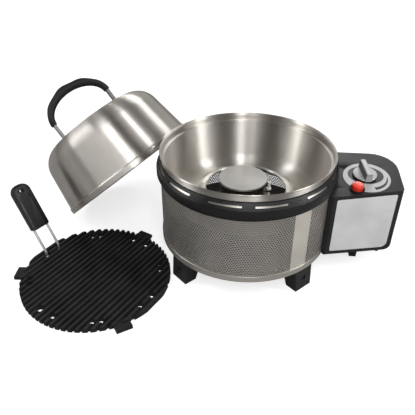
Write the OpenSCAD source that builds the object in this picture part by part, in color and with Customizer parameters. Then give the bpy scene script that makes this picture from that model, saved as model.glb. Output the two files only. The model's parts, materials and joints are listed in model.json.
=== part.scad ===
// Portable gas grill, laid out for cooking: a round perforated body with a lift-out bowl over a
// burner, a gas box with its controls on one side, the domed lid leaning on the body, and the
// ribbed griddle plate lying beside it with its lifter hooked in.
// Millimetres. The origin is on the ground under the axis of the body. +X points to the gas box.

/* [Body] */
// Outer radius of the perforated shell
shell_r = 155; // [145:1:165]
// Sheet thickness of the shell
shell_t = 1.2; // [0.8:0.1:2]
// Height of the shell
shell_h = 139; // [130:1:150]
// Direction of the middle of the shell's plain seam strip
seam_angle = -51.5; // [-80:0.5:-40]
// Width of the seam strip round the shell
seam_w = 34; // [20:1:50]
// Thickness of the seam strip
seam_t = 0.8; // [0.5:0.1:1.2]
// Height of the steel trim ring round the foot of the shell
trim_h = 12; // [8:0.5:16]
// Thickness of the trim ring
trim_t = 2; // [1:0.1:3]
// Number of panels round the shell, each with two columns of openings
mesh_panels = 12; // [9:1:15]
// Number of rows of openings
mesh_rows = 5; // [3:1:7]
// Width of the upright bars between the openings
mesh_bar = 9; // [8:0.5:12]
// Height of the level bars between the openings
mesh_rail = 5.5; // [3:0.5:8]
// Sheet thickness of the base pan
pan_t = 1.5; // [1:0.1:2.5]
// Height of the base pan's upturned edge
pan_edge_h = 12; // [8:1:20]
// Radius of the raised middle of the base pan
pan_mid_r = 72; // [40:1:90]
// Height of that raised middle
pan_mid_h = 3; // [1:0.5:6]

/* [Feet] */
// Height of the feet
foot_h = 43; // [35:1:55]
// Width of a foot at its top
foot_w = 42; // [30:1:50]
// How much each side of a foot draws in towards the ground
foot_draft = 2; // [0:0.5:5]
// Depth of a foot along the radius, at its top
foot_d = 34; // [24:1:40]
// How far the outer face of a foot leans out at the ground
foot_lean = 4; // [0:0.5:8]
// How far the inner face of a foot leans out at the ground
foot_cut = 14; // [4:1:18]
// Width of the square recess in a foot's outer face
foot_recess_w = 11; // [6:1:16]
// Height of that recess
foot_recess_h = 9; // [5:1:14]
// Depth of that recess
foot_recess_d = 3; // [1:0.5:6]

/* [Top ring] */
// Outer radius of the moulded ring's skirt
ring_r = 162; // [160:0.5:170]
// Wall of the moulded ring
ring_t = 3; // [2:0.1:4]
// How far the skirt hangs below the top of the shell
ring_hang = 5.5; // [3:0.5:10]
// Height of the skirt
ring_skirt_h = 13; // [10:0.5:18]
// Height of the sloping band above the skirt
ring_band_h = 11; // [9:0.5:16]
// Radius of the band at its top
ring_top_r = 153; // [152:0.5:156]
// Radius of the opening that carries the bowl
ring_bore_r = 148.8; // [147:0.1:150]
// Height of the collar under the skirt, close round the shell
ring_collar_h = 8; // [4:0.5:12]
// Wall of that collar
ring_collar_t = 1.5; // [1:0.1:2.5]
// Number of groups of vents round the band: two slots and a round vent in each
vent_groups = 6; // [4:1:7]
// Angle that one slot takes
vent_angle = 20; // [10:0.5:20]
// Angle between the two slots of a group
vent_space = 7.5; // [4:0.5:9]
// Direction of the middle of the first slot
vent_first = -101; // [-130:0.5:-80]
// Height of a slot along the band
vent_h = 3.3; // [1.5:0.1:4]
// Diameter of the round vent beside the slots
vent_dot_d = 3.6; // [2:0.1:5]

/* [Bowl] */
// Sheet thickness of the bowl
bowl_t = 1.2; // [0.8:0.1:2]
// Height of the bowl's floor above the ground
bowl_floor_z = 138; // [132:1:146]
// Radius of the opening in the floor
bowl_hole_r = 75; // [65:1:80]
// Radius of the turn from floor to wall
bowl_turn_r = 38; // [20:1:44]
// Draw-in of the wall towards the floor
bowl_draft = 8; // [4:0.5:12]
// Radius of the wall at the ledge
bowl_wall_r = 146.6; // [144:0.1:147.2]
// Width of the flat ledge that carries the griddle and the lid
bowl_ledge_w = 5; // [4.2:0.1:5.4]
// Height of the straight band above the ledge
bowl_band_h = 11; // [7:0.5:14]
// How far the lip flares out of the band
bowl_lip_w = 3.4; // [2:0.1:5]
// Height of the lip
bowl_lip_h = 2.8; // [2:0.1:5]
// Radius of the rolled edge of the opening
bowl_bead_r = 1.7; // [1.2:0.1:3]

/* [Burner] */
// Place of the burner along X
burner_x = -6; // [-15:1:5]
// Radius of the burner drum
drum_r = 40; // [34:1:44]
// Height of the drum
drum_h = 34; // [28:1:36]
// Wall of the drum
drum_t = 1.6; // [1.2:0.1:3]
// Height of the drum's underside above the ground
drum_z = 114; // [108:1:116]
// Number of flame ports
port_count = 24; // [12:1:36]
// Diameter of a flame port
port_d = 3; // [2:0.1:4]
// Radius of the flame cap
cap_r = 45; // [42:1:50]
// Thickness of the flame cap
cap_t = 3; // [2:0.5:5]
// Gap between the drum and the flame cap
cap_lift = 6; // [4:0.5:9]
// Outer radius of the mixing tube
tube_r = 7; // [5.5:0.5:8]
// Wall of the mixing tube
tube_t = 1; // [0.8:0.1:1.5]
// Slope of the mixing tube
tube_slope = 22; // [18:1:26]
// Width of the burner's bracket strap
strap_w = 20; // [14:1:26]
// Thickness of the strap
strap_t = 2; // [1.5:0.1:3]
// Slope of the bracket's leg
strap_slope = 25; // [18:1:28]

/* [Igniter] */
// Distance of the electrode from the drum's side
electrode_off = 9; // [7:0.5:11]
// Place of the electrode across the burner
electrode_y = 12; // [8:1:16]
// Diameter of the electrode's ceramic
ceramic_d = 6; // [5:0.5:8]
// Diameter of the electrode's wire
spark_d = 1.6; // [1.2:0.1:2]
// Diameter of the igniter's lead
lead_d = 3; // [2:0.5:3.5]

/* [Gas box] */
// Outer end of the box along X
box_x = 271; // [266:1:280]
// Front corner of the box beside the shell, along Y
box_front_y = -68; // [-72:1:-62]
// How far that front corner stands off the shell
box_front_out = 9.7; // [7:0.1:14]
// Front corner of the box at its outer end, along Y
box_end_y = -40.4; // [-50:0.5:-36]
// Back face of the box, along Y
box_back_y = 64; // [58:1:68]
// Radius of the outer back corner
box_back_r = 45; // [35:1:50]
// Radius of the outer front corner
box_front_r = 6; // [4:1:16]
// Radius of the lower outer corner, seen from the front
box_heel_r = 14; // [12:1:24]
// Wall of the box
box_wall = 2.5; // [2:0.1:3]
// How far the control panel lies below the top of the shell, over the middle of the box
panel_drop = 8; // [4:0.5:11]
// Slope of the control panel towards the front
panel_slope = 7.5; // [3:0.5:10]
// Thickness of the label plate on the front
label_t = 0.8; // [0.5:0.1:1.2]
// Border left of the label plate
label_left = 7; // [5:1:20]
// Border right of the label plate
label_right = 4; // [3:1:12]
// Border above and below the label plate
label_edge = 7; // [5:1:14]
// Width of the box's foot
box_foot_w = 13; // [10:1:20]
// Length of the box's foot at its top
box_foot_l = 40; // [25:1:50]
// How much each end of that foot draws in at the ground
box_foot_draft = 5; // [0:0.5:10]

/* [Cartridge door] */
// Place of the door's hinge pin along X
hinge_x = 172; // [168:1:178]
// Radius of the hinge pin
hinge_pin_r = 1.5; // [1:0.1:2]
// Radius of the hinge knuckles
knuckle_r = 3.4; // [3:0.1:4]
// Length of one of the fixed knuckles
knuckle_h = 14; // [10:1:20]
// Lower edge of the door above the underside of the box
door_sill = 9; // [7:1:14]
// Height of the door
door_h = 108; // [95:1:112]
// Place of the door's free edge along Y
door_edge_y = 6; // [0:1:12]

/* [Controls] */
// Place of the knob along X
knob_x = 208; // [207:0.5:214]
// Radius of the knob's skirt
knob_r = 21; // [18:0.5:24]
// Thickness of the knob's skirt
knob_skirt_h = 4.4; // [3:0.1:7]
// Length of the knob's bar
bar_l = 44; // [36:1:48]
// Width of the knob's bar
bar_w = 12; // [9:0.5:16]
// Height of the knob's bar above the skirt
bar_h = 14; // [10:0.5:18]
// Direction of the bar on the panel
bar_angle = 98; // [60:1:120]
// Radius of the valve's spindle
spindle_r = 3; // [2.5:0.1:4]
// Radius of the dial plate round the knob
dial_r = 41; // [36:0.5:44]
// How far the dial plate sits to the right of the knob
dial_right = 3; // [0:0.5:5]
// How far the dial plate sits in front of the knob
dial_front = 5; // [0:0.5:8]
// Thickness of the dial plate
dial_t = 1; // [0.6:0.1:1.5]
// Place of the igniter button along X
button_x = 190.5; // [186:0.5:196]
// Place of the igniter button along Y
button_y = -43; // [-44:0.5:-38]
// Radius of the button
button_r = 10; // [8:0.5:11]
// How far the button stands above its collar
button_up = 8; // [7:0.5:12]
// Travel of the button
button_travel = 6; // [4:0.5:6]
// Wall of the button's collar
collar_t = 2.6; // [2:0.1:3]
// Wall of the igniter's barrel
barrel_t = 1.6; // [1:0.1:2]
// Height of the button's collar
collar_h = 2.5; // [1.5:0.1:4]

/* [Gas train] */
// Depth of the valve below the panel
valve_depth = 38; // [36:1:40]
// Radius of the valve's body
valve_r = 12; // [10:0.5:13]
// Radius of the valve's neck in the panel
valve_neck_r = 6; // [5:0.5:7]
// Radius of the gas pipe
pipe_r = 2.5; // [2:0.1:3]
// Clear space between the shell and the gas pipe
pipe_off = 2.6; // [2:0.1:3.5]
// Radius of the gas cartridge
can_r = 45; // [40:0.5:46]
// Height of the cartridge up to its neck
can_h = 68; // [60:1:70]
// Sheet thickness of the cartridge
can_t = 1.2; // [0.8:0.1:2]
// Radius of the cartridge's threaded neck
can_neck_r = 5.5; // [5:0.1:6]
// Height of the neck
can_neck_h = 10; // [8:0.5:12]

/* [Lid] */
// Radius of the lid's rim
lid_r = 147; // [145:0.5:149]
// Height of the lid without its handle
lid_h = 128.5; // [120:0.5:140]
// Sheet thickness of the lid
lid_t = 1.2; // [0.8:0.1:2]
// Height of the stepped band at the rim
lid_band_h = 10; // [6:0.5:14]
// Width of the step above that band
lid_step_w = 2.4; // [1.5:0.1:4]
// Draw-in of the lid's wall
lid_draft = 9; // [4:0.5:11]
// Radius of the lid's shoulder
lid_shoulder_r = 45; // [35:1:50]
// Rise of the lid's top above the shoulder
lid_crown_h = 1.5; // [0.5:0.5:5]
// How far the lid's axis leans from upright
lid_lean = 43; // [40:0.5:46]
// Direction in which the lid leans away from the body
lid_angle = 157.5; // [150:0.5:165]

/* [Lid handle] */
// Distance between the handle's two legs
handle_w = 133; // [110:1:140]
// Direction of the handle on the lid
handle_turn = -30; // [-90:1:90]
// Height of a leg up to the grip
handle_leg_h = 34; // [25:1:45]
// Rise of the arched grip above its legs
handle_arch_h = 44; // [35:1:55]
// Width of the steel legs
leg_w = 12; // [8:0.5:16]
// Thickness of the steel legs
leg_t = 3; // [2:0.1:4]
// Length of the bent feet of the legs
leg_foot_l = 22; // [16:1:26]
// Thickness of the grip at its ends, seen from the side
grip_t = 13; // [10:0.5:16]
// Extra thickness of the grip at its middle
grip_swell = 5; // [0:0.5:8]
// Width of the grip
grip_w = 20; // [16:0.5:26]

/* [Griddle] */
// Radius of the griddle over its ribs
griddle_r = 136; // [120:1:140]
// Thickness of the griddle's plate
griddle_t = 4; // [3:0.5:6]
// Height of the ribs above the plate
rib_h = 5; // [3:0.5:7]
// Distance from rib to rib
rib_pitch = 10.9; // [9:0.1:14]
// Width of a rib at its foot
rib_w = 7; // [5:0.1:8]
// Width of a rib at its top
rib_top_w = 4; // [2:0.1:4.8]
// How far the ribs run out past the plate's edge
rib_over = 3; // [1:0.5:5]
// Reach of the three tabs past the ribs
tab_l = 13.5; // [8:0.5:13.5]
// Width of the tabs
tab_w = 28; // [20:1:40]
// Diameter of the drain holes
drain_d = 9; // [6:0.1:10]
// How much wider the ribs are cut away over a drain hole
drain_clear = 3; // [1:0.5:4]
// Distance of the drain holes from the edge of the ribs
drain_in = 18; // [14:1:26]
// Direction of the first pair of drain holes from the ribs
drain_turn = -3; // [-10:0.5:10]
// Spacing of the wide pairs of drain holes
drain_wide = 30; // [24:1:34]
// Spacing of the narrow pairs of drain holes
drain_narrow = 15; // [12:1:20]
// Direction of the ribs on the ground
rib_angle = 63.5; // [40:0.5:90]
// Direction of the griddle from the body
griddle_angle = -155.5; // [-160:0.5:-150]
// How far the griddle's edge reaches in under the body's trim ring
griddle_under = 2.5; // [0:0.5:3]

/* [Lifter] */
// Diameter of the lifter's wires
wire_d = 4; // [3:0.1:4.6]
// Length of bare wire between the griddle and the grip
wire_l = 46; // [36:1:65]
// Slope of the lifter
lifter_slope = 60; // [45:1:70]
// Length of the lifter's grip
lifter_l = 91; // [70:1:100]
// Width of the grip
lifter_w = 36; // [35:1:44]
// Thickness of the grip
lifter_t = 13; // [10:0.5:16]
// Diameter of the hanging hole
hang_d = 8; // [5:0.5:12]

/* [Clearances] */
// Gap between curved faces that sit together
seat = 0.15; // [0.1:0.05:0.2]
// Gap between pieces that move past each other
move_gap = 0.4; // [0.3:0.05:0.6]
// Radial gap of a turning fit
run_gap = 0.05; // [0.02:0.01:0.1]
// Diameter of the assembly screws
screw_d = 4; // [3:0.5:5]
// Diameter of a screw's head
screw_head_d = 7.5; // [6:0.5:9]
// Height of a screw's head
screw_head_h = 2.4; // [1.5:0.1:3]

/* [Hidden] */
$fn = 64;
tiny = 0.01;
past = 1;

// Heights of the body, from the ground up
shell_z = foot_h + pan_t;
shell_top = shell_z + shell_h;
ring_z = shell_top - ring_hang;
band_z = ring_z + ring_skirt_h;
ring_top = band_z + ring_band_h;
shell_in = shell_r - shell_t;
trim_r = shell_r + seat + trim_t;
collar_in = shell_r + 2 * seat + seam_t;
collar_r = collar_in + ring_collar_t;

// Grid of openings in the shell, kept clear of the trim ring, the ring's collar, the seam and the gas box
mesh_edge = 4;
mesh_z = foot_h + trim_h + mesh_edge;
mesh_h = ring_z - ring_collar_h - mesh_edge - mesh_z;
mesh_open_h = (mesh_h + mesh_rail) / mesh_rows - mesh_rail;
mesh_cols = 2 * mesh_panels;
mesh_open = 360 / mesh_cols - mesh_bar / shell_r * 180 / PI;
// Turn of the shell that one panel takes, and the joint between two panels
panel_sweep = 360 / mesh_panels;
panel_joint = 0.2 / shell_r * 180 / PI;
seam_sweep = seam_w / shell_r * 180 / PI;

// Groove between the skirt and the band of the ring, and the rounding at the top of the band
groove_h = 1.2;
groove_d = 1;
band_foot_r = ring_r - 0.4;
brow_h = 1.6;
brow_w = 1.6;
// Radius of the sloping band at height z
band_in = (ring_top_r + brow_w - band_foot_r) / (ring_band_h - brow_h);
function band_r(z) = band_foot_r + band_in * (z - band_z);
ring_lip_h = 4;
ring_rest_h = 2.5;
vent_rise = 0.6;

// Bowl: seat on the ring, ledge and lip
bowl_ledge_z = ring_top + move_gap / 2 + bowl_t;
bowl_band_r = bowl_wall_r + bowl_ledge_w;
bowl_lip_z = bowl_ledge_z + bowl_band_h;
turn_steps = 8;

// Burner stack
drum_top = drum_z + drum_h;
cap_z = drum_top + cap_lift;
tube_z = drum_z + 8;
tube_start = 14;
tube_end = (shell_in - 12 - burner_x) / cos(tube_slope);
jet_l = 14;
jet_bore_l = 8;
ear_t = 2.5;
ear_w = 12;
ear_z = drum_z + 10;
electrode_x = burner_x + drum_r + electrode_off;
ceramic_up = 16;
ceramic_down = 15;
ceramic_collar_h = 3.5;
ceramic_collar_d = ceramic_d + 3;
spark_up = 9;
bracket_end = shell_in - 0.6;
bracket_tab_h = 18;
bracket_reach = 34;
bracket_tail = 8;
bracket_drop = (bracket_end + burner_x - bracket_reach) * tan(strap_slope);
rivet_z = drum_z - bracket_drop + bracket_tab_h / 2;

// Gas box
box_z = foot_h;
panel_z = shell_top - panel_drop;
box_front_x = sqrt(pow(shell_r + box_front_out, 2) - pow(box_front_y, 2));
box_side = [box_front_x - 15, box_front_y + 8.5];
box_reach = atan2(-box_front_y, box_front_x);
box_blend = 3;
box_far = 400;
box_post_r = 5;
box_post_at = shell_r + move_gap + box_post_r + 1.2;
box_post_angle = 22.5;
box_end_post = [box_x - 25, box_end_y - 2];
box_post_top = panel_z - 16;
box_screw_z = [box_z + 28, box_post_top - 16];
base_t = 2.5;
base_room = 0.3;
knob_y = -valve_depth * sin(panel_slope);
valve_z = panel_z + knob_y * tan(panel_slope) - valve_depth * cos(panel_slope);
can_z = box_z + base_t;
can_top = can_z + can_h;
connector_r = 10;
connector_gap = 1.5;
spigot_r = 4;
spigot_l = 14;
pipe_x = shell_r + pipe_off + pipe_r;
pipe_bend_r = 7;
label_room = 0.3;
label_corner_r = 3;

// Door hinge
hinge_y = box_back_y + knuckle_r + move_gap + 0.2;
door_z = box_z + door_sill;
pull_r = 3;
pull_h = 40;

// Button and igniter, measured from the panel's face
button_in = 3;
stem_r = 4;
stem_l = 21;
barrel_step = button_in + button_travel + 2;
barrel_l = 44;
knob_lift = dial_t + 0.6;
knob_hold = 13;

// Lid pose: the rim stands on the ground and its top edge leans on the ring's band
lid_top_z = 2 * lid_r * sin(lid_lean);
lid_z = lid_r * sin(lid_lean);
lid_out = band_r(min(lid_top_z, ring_top - brow_h)) + move_gap + lid_r * cos(lid_lean);
lid_wall_r = lid_r - lid_step_w;
lid_wall_top = lid_h - lid_crown_h - lid_shoulder_r * (1 - sin(lid_draft));
lid_turn_r = lid_wall_r - (lid_wall_top - lid_band_h - lid_step_w) * tan(lid_draft);
lid_flat_r = handle_w / 2 + 4;
handle_screw_at = handle_w / 2 - leg_foot_l / 2 - 2;
leg_bend_r = 5;
grip_rings = 30;
grip_sides = 12;

// Griddle place and the lifter's slope
griddle_at = trim_r - griddle_under + griddle_r;
drain_at = griddle_r - drain_in;
drain_step = 0.6;
hook_at = drain_at + (drain_d - wire_d) / 2 - seat;
griddle_top = griddle_t + rib_h;
plate_r = griddle_r - rib_over;
rib_n = floor(griddle_r / rib_pitch);
tip_z = 1;
elbow_z = griddle_top + 4;
wire_in = 20;
wire_bend_r = 6;
inset_w = lifter_w * 0.4;

// Route of the igniter's lead, from the igniter to the electrode
button_z = panel_z + button_y * tan(panel_slope);
lead_from = [button_x, button_y + barrel_l * sin(panel_slope), button_z - barrel_l * cos(panel_slope)];
electrode_foot = [electrode_x, electrode_y, ear_z - ceramic_down];
lead_hole_angle = 8;
lead_hole_z = 108;
lead_hole_d = lead_d + 2;
lead_route = [
    lead_from,
    lead_from + [-2, 2, -9],
    [172, 2, 117],
    [shell_r * cos(lead_hole_angle), shell_r * sin(lead_hole_angle), lead_hole_z],
    [120, 22, 103],
    [70, 21, 96],
    electrode_foot + [0, 0, -12],
    electrode_foot
];

// Unit vector of v
function unit(v) = v / norm(v);

// Left-hand normal of the flat segment from p to q
function left_of(p, q) = unit([p[1] - q[1], q[0] - p[0]]);

// A flat path moved to its left by t, with mitred corners
function beside(path, t) = [
    for (i = [0 : len(path) - 1])
        let (
            before = max(i - 1, 0),
            after = min(i, len(path) - 2),
            a = left_of(path[before], path[before + 1]),
            b = left_of(path[after], path[after + 1])
        )
        path[i] + t * (a + b) / (1 + a * b)
];

// The corner a, b, c rounded to radius r in n steps
function bend(a, b, c, r, n) =
    let (
        u = unit(a - b),
        v = unit(c - b),
        half = acos(u * v) / 2,
        middle = b + unit(u + v) * r / sin(half),
        from = b + u * r / tan(half) - middle,
        to = b + v * r / tan(half) - middle,
        turn = 180 - 2 * half
    )
    [for (k = [0 : n]) middle + (from * sin((1 - k / n) * turn) + to * sin(k / n * turn)) / sin(turn)];

// An open route with its inner corners rounded
function rounded_route(p, r, n) = concat(
    [p[0]],
    [for (i = [1 : len(p) - 2]) each bend(p[i - 1], p[i], p[i + 1], r, n)],
    [p[len(p) - 1]]
);

// A closed outline whose points are x, y and corner radius
function rounded_outline(p, n) = [
    for (i = [0 : len(p) - 1])
        let (a = p[(i + len(p) - 1) % len(p)], b = p[i], c = p[(i + 1) % len(p)])
        each bend([a[0], a[1]], [b[0], b[1]], [c[0], c[1]], b[2], n)
];

// The same kind of outline drawn in by d
function drawn_in(p, d) = [
    for (i = [0 : len(p) - 1])
        let (
            a = p[(i + len(p) - 1) % len(p)],
            b = p[i],
            c = p[(i + 1) % len(p)],
            u = left_of(a, b),
            v = left_of(b, c),
            m = [b[0], b[1]] + d * (u + v) / (1 + u * v)
        )
        [m[0], m[1], max(b[2] - d, box_blend / 4)]
];

// Directions along a route in space
function headings(p) = [
    for (i = [0 : len(p) - 1]) unit(p[min(i + 1, len(p) - 1)] - p[max(i - 1, 0)])
];

// A side vector carried along the headings without twist
function carried(t, first) = [
    for (i = 0, s = first; i < len(t); i = i + 1, s = i < len(t) ? unit(s - (s * t[i]) * t[i]) : s) s
];

// Flat ring made from a sheet profile turned about Z, with its thickness to the left of the path
module turned(path, t) {
    far_side = beside(path, t);
    rotate_extrude()
        polygon(concat(path, [for (i = [len(path) - 1 : -1 : 0]) far_side[i]]));
}

// Straight tube of material between two heights
module hoop(r_in, r_out, z_low, z_high) {
    rotate_extrude()
        translate([r_in, z_low])
            square([r_out - r_in, z_high - z_low]);
}

// Closed skin over a row of rings, each with the same number of points
module skin(rings) {
    n = len(rings[0]);
    m = len(rings);
    points = [for (r = rings) each r];
    sides = [
        for (i = [0 : m - 2], k = [0 : n - 1])
            let (a = i * n + k, b = i * n + (k + 1) % n)
            each [[a, a + n, b + n], [a, b + n, b]]
    ];
    caps = [[for (k = [0 : n - 1]) k], [for (k = [n - 1 : -1 : 0]) (m - 1) * n + k]];
    polyhedron(points, concat(sides, caps));
}

// Round bar along a route in space
module bar_along(route, r, sides) {
    t = headings(route);
    first = unit(cross(t[0], abs(t[0][1]) < 0.9 ? [0, 1, 0] : [1, 0, 0]));
    s = carried(t, first);
    skin([
        for (i = [0 : len(route) - 1])
            let (w = cross(t[i], s[i]))
            [for (k = [0 : sides - 1])
                let (a = 360 * k / sides)
                route[i] + r * (cos(a) * s[i] + sin(a) * w)]
    ]);
}

// Screw or rivet pointing down from z = 0, head above
module screw(l, d = screw_d, head_d = screw_head_d, head_h = screw_head_h) {
    cylinder(h = head_h, d = head_d);
    translate([0, 0, -l])
        cylinder(h = l + tiny, d = d);
}

// Children turned so that their Z axis points outwards at an angle round the body, at height z
module facing(angle, r, z) {
    rotate([0, 0, angle])
        translate([r, 0, z])
            rotate([0, 90, 0])
                children();
}

// Children placed on the control panel with Z along its outward normal
module on_panel(x, y) {
    translate([x, y, panel_z + y * tan(panel_slope)])
        rotate([panel_slope, 0, 0])
            children();
}

// Children placed in the leaning lid's own frame, with the rim at z = 0
module on_lid() {
    rotate([0, 0, lid_angle])
        translate([lid_out, 0, lid_z])
            rotate([0, lid_lean, 0])
                children();
}

// Children placed in the frame of the lid's handle, with Y from leg to leg
module on_handle() {
    on_lid()
        rotate([0, 0, handle_turn])
            children();
}

// Children placed on the griddle's own frame, with X along the ribs
module on_griddle() {
    rotate([0, 0, griddle_angle])
        translate([griddle_at, 0, 0])
            rotate([0, 0, rib_angle - griddle_angle])
                children();
}

// Children placed along the mixing tube, with Z running from the burner to the gas box
module on_tube() {
    translate([burner_x, 0, tube_z])
        rotate([0, 90 + tube_slope, 0])
            children();
}

// Perforated shell of the body in panels that stand edge to edge, with its passages for the gas,
// the lead and the screws
module mesh_shell() {
    color("silver")
        difference() {
            for (i = [0 : mesh_panels - 1])
                rotate([0, 0, (i - 0.5) * panel_sweep + panel_joint / 2])
                    rotate_extrude(angle = panel_sweep - panel_joint)
                        translate([shell_in, shell_z])
                            square([shell_t, shell_top - shell_z]);
            for (i = [0 : mesh_cols - 1])
                let (
                    a = 360 * (i + 0.5) / mesh_cols,
                    from_box = abs((a + 180) % 360 - 180),
                    from_seam = abs((a - seam_angle + 540) % 360 - 180)
                )
                if (from_box > box_reach + mesh_open / 2 && from_seam > (seam_sweep + mesh_open) / 2)
                    for (k = [0 : mesh_rows - 1])
                        mesh_opening(a, mesh_z + k * (mesh_open_h + mesh_rail));
            on_tube()
                cylinder(h = box_far, r = pipe_r + move_gap + 1);
            facing(lead_hole_angle, shell_in - past, lead_hole_z)
                cylinder(h = shell_t + 2 * past, d = lead_hole_d);
            for (side = [-1, 1], z = box_screw_z)
                facing(side * box_post_angle, shell_in - past, z)
                    cylinder(h = shell_t + 2 * past, d = screw_d + 2 * seat);
            facing(180, shell_in - past, rivet_z)
                cylinder(h = shell_t + 2 * past, d = screw_d + 2 * seat);
        }
}

// One opening of the shell, its middle in the direction a, its lower edge at z
module mesh_opening(a, z) {
    rotate([0, 0, a - mesh_open / 2])
        rotate_extrude(angle = mesh_open)
            translate([shell_in - past, z])
                square([shell_t + 2 * past, mesh_open_h]);
}

// Plain strip that covers the seam of the shell
module shell_seam() {
    color("gainsboro")
        rotate([0, 0, seam_angle - seam_sweep / 2])
            rotate_extrude(angle = seam_sweep)
                translate([shell_r + seat, foot_h + trim_h + seat])
                    square([seam_t, shell_top - foot_h - trim_h - seat]);
}

// Steel ring round the foot of the shell, notched for the gas pipe
module trim_ring() {
    edge = trim_t / 3;
    color("lightgray")
        difference() {
            rotate_extrude()
                polygon([
                    [shell_r + seat, foot_h],
                    [trim_r - edge, foot_h],
                    [trim_r, foot_h + edge],
                    [trim_r, foot_h + trim_h - edge],
                    [trim_r - edge, foot_h + trim_h],
                    [shell_r + seat, foot_h + trim_h]
                ]);
            on_tube()
                cylinder(h = box_far, r = pipe_r + move_gap + 1);
        }
}

// Pan that closes the body below, with an upturned edge inside the shell
module base_pan() {
    edge_r = shell_in - seat;
    floor_path = [
        [0, foot_h + pan_mid_h],
        [pan_mid_r, foot_h + pan_mid_h],
        [pan_mid_r + 2 * pan_mid_h, foot_h],
        [shell_r, foot_h]
    ];
    color("lightgray")
        difference() {
            union() {
                turned(floor_path, pan_t);
                hoop(edge_r - pan_t, edge_r, foot_h + pan_t / 2, shell_z + pan_edge_h);
            }
            for (a = [45 : 90 : 315])
                rotate([0, 0, a])
                    translate([shell_r - foot_d / 2, 0, foot_h - past])
                        cylinder(h = pan_t + 2 * past, d = screw_d + 2 * seat);
        }
}

// One foot, standing in the direction a
module foot(a) {
    profile = [
        [shell_r - foot_d, foot_h],
        [shell_r - foot_d + foot_cut, 0],
        [shell_r + foot_lean, 0],
        [shell_r, foot_h]
    ];
    front = [
        [-foot_w / 2, foot_h],
        [-foot_w / 2 + foot_draft, 0],
        [foot_w / 2 - foot_draft, 0],
        [foot_w / 2, foot_h]
    ];
    color("#1c1c1c")
        rotate([0, 0, a])
            difference() {
                intersection() {
                    rotate([90, 0, 0])
                        linear_extrude(height = foot_w + 2 * past, center = true)
                            polygon(profile);
                    rotate([90, 0, 90])
                        linear_extrude(height = shell_r + foot_lean + past)
                            polygon(front);
                }
                translate([
                    shell_r + foot_lean / 2 - foot_recess_d,
                    -foot_recess_w / 2,
                    foot_h / 2 - foot_recess_h / 2
                ])
                    cube([foot_d, foot_recess_w, foot_recess_h]);
                translate([shell_r - foot_d / 2, 0, foot_h / 2])
                    cylinder(h = foot_h, d = screw_d + 2 * run_gap);
            }
}

module foot_front_left() foot(-135);
module foot_front_right() foot(-45);
module foot_rear_left() foot(135);
module foot_rear_right() foot(45);

// Screws that hold the feet to the base pan
module foot_screws() {
    color("dimgray")
        for (a = [45 : 90 : 315])
            rotate([0, 0, a])
                translate([shell_r - foot_d / 2, 0, shell_z])
                    screw(foot_h / 2);
}

// Moulded ring on top of the shell, with vent slots in its sloping band
module top_ring() {
    outline = [
        [ring_r, ring_z],
        [ring_r, band_z - groove_h],
        [ring_r - groove_d, band_z - groove_h],
        [ring_r - groove_d, band_z],
        [band_foot_r, band_z],
        [ring_top_r + brow_w, ring_top - brow_h],
        [ring_top_r, ring_top],
        [ring_bore_r, ring_top],
        [ring_bore_r, ring_top - ring_lip_h],
        [ring_bore_r + ring_t, ring_top - ring_lip_h],
        [ring_bore_r + ring_t, ring_top - ring_t],
        [band_foot_r - ring_t, band_z],
        [ring_r - ring_t - groove_d, band_z - groove_h - ring_t],
        [ring_r - ring_t, ring_z]
    ];
    lean = atan2(band_foot_r - ring_top_r - brow_w, ring_band_h - brow_h);
    vent_z = band_z + (ring_band_h - brow_h) * vent_rise;
    group = 360 / vent_groups;
    pair = vent_angle + vent_space;
    dot_turn = (group + pair) / 2;
    color("#111111")
        difference() {
            union() {
                rotate_extrude()
                    polygon(outline);
                hoop(shell_in - 1.5, ring_r - ring_t / 2, shell_top, shell_top + ring_rest_h);
                hoop(collar_in, collar_r, ring_z - ring_collar_h, ring_z + ring_collar_t);
                hoop(collar_in, ring_r - ring_t / 2, ring_z, ring_z + ring_collar_t);
            }
            for (i = [0 : vent_groups - 1]) {
                for (k = [0, 1])
                    rotate([0, 0, vent_first + i * group + k * pair - vent_angle / 2])
                        rotate_extrude(angle = vent_angle)
                            translate([band_r(vent_z), vent_z])
                                rotate([0, 0, lean])
                                    square([3 * ring_t, vent_h], center = true);
                rotate([0, 0, vent_first + i * group + dot_turn])
                    translate([band_r(vent_z), 0, vent_z])
                        rotate([0, 90 - lean, 0])
                            cylinder(h = 3 * ring_t, d = vent_dot_d, center = true);
            }
        }
}

// Inner face of the bowl from its opening to its lip
function bowl_path() = let (
    wall_foot = [bowl_wall_r - (bowl_ledge_z - bowl_floor_z) * tan(bowl_draft), bowl_floor_z],
    wall_top = [bowl_wall_r, bowl_ledge_z]
) concat(
    [[bowl_hole_r, bowl_floor_z]],
    bend([bowl_hole_r, bowl_floor_z], wall_foot, wall_top, bowl_turn_r, turn_steps),
    [
        wall_top,
        [bowl_band_r, bowl_ledge_z],
        [bowl_band_r, bowl_lip_z],
        [bowl_band_r + bowl_lip_w * 0.4, bowl_lip_z + bowl_lip_h * 0.75],
        [bowl_band_r + bowl_lip_w, bowl_lip_z + bowl_lip_h]
    ]
);

// Lift-out bowl with a ledge, a flared lip and a rolled opening in its floor
module bowl() {
    color("lightsteelblue")
        union() {
            turned(bowl_path(), -bowl_t);
            rotate_extrude()
                translate([bowl_hole_r, bowl_floor_z - bowl_t / 2])
                    circle(r = bowl_bead_r);
        }
}

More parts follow.
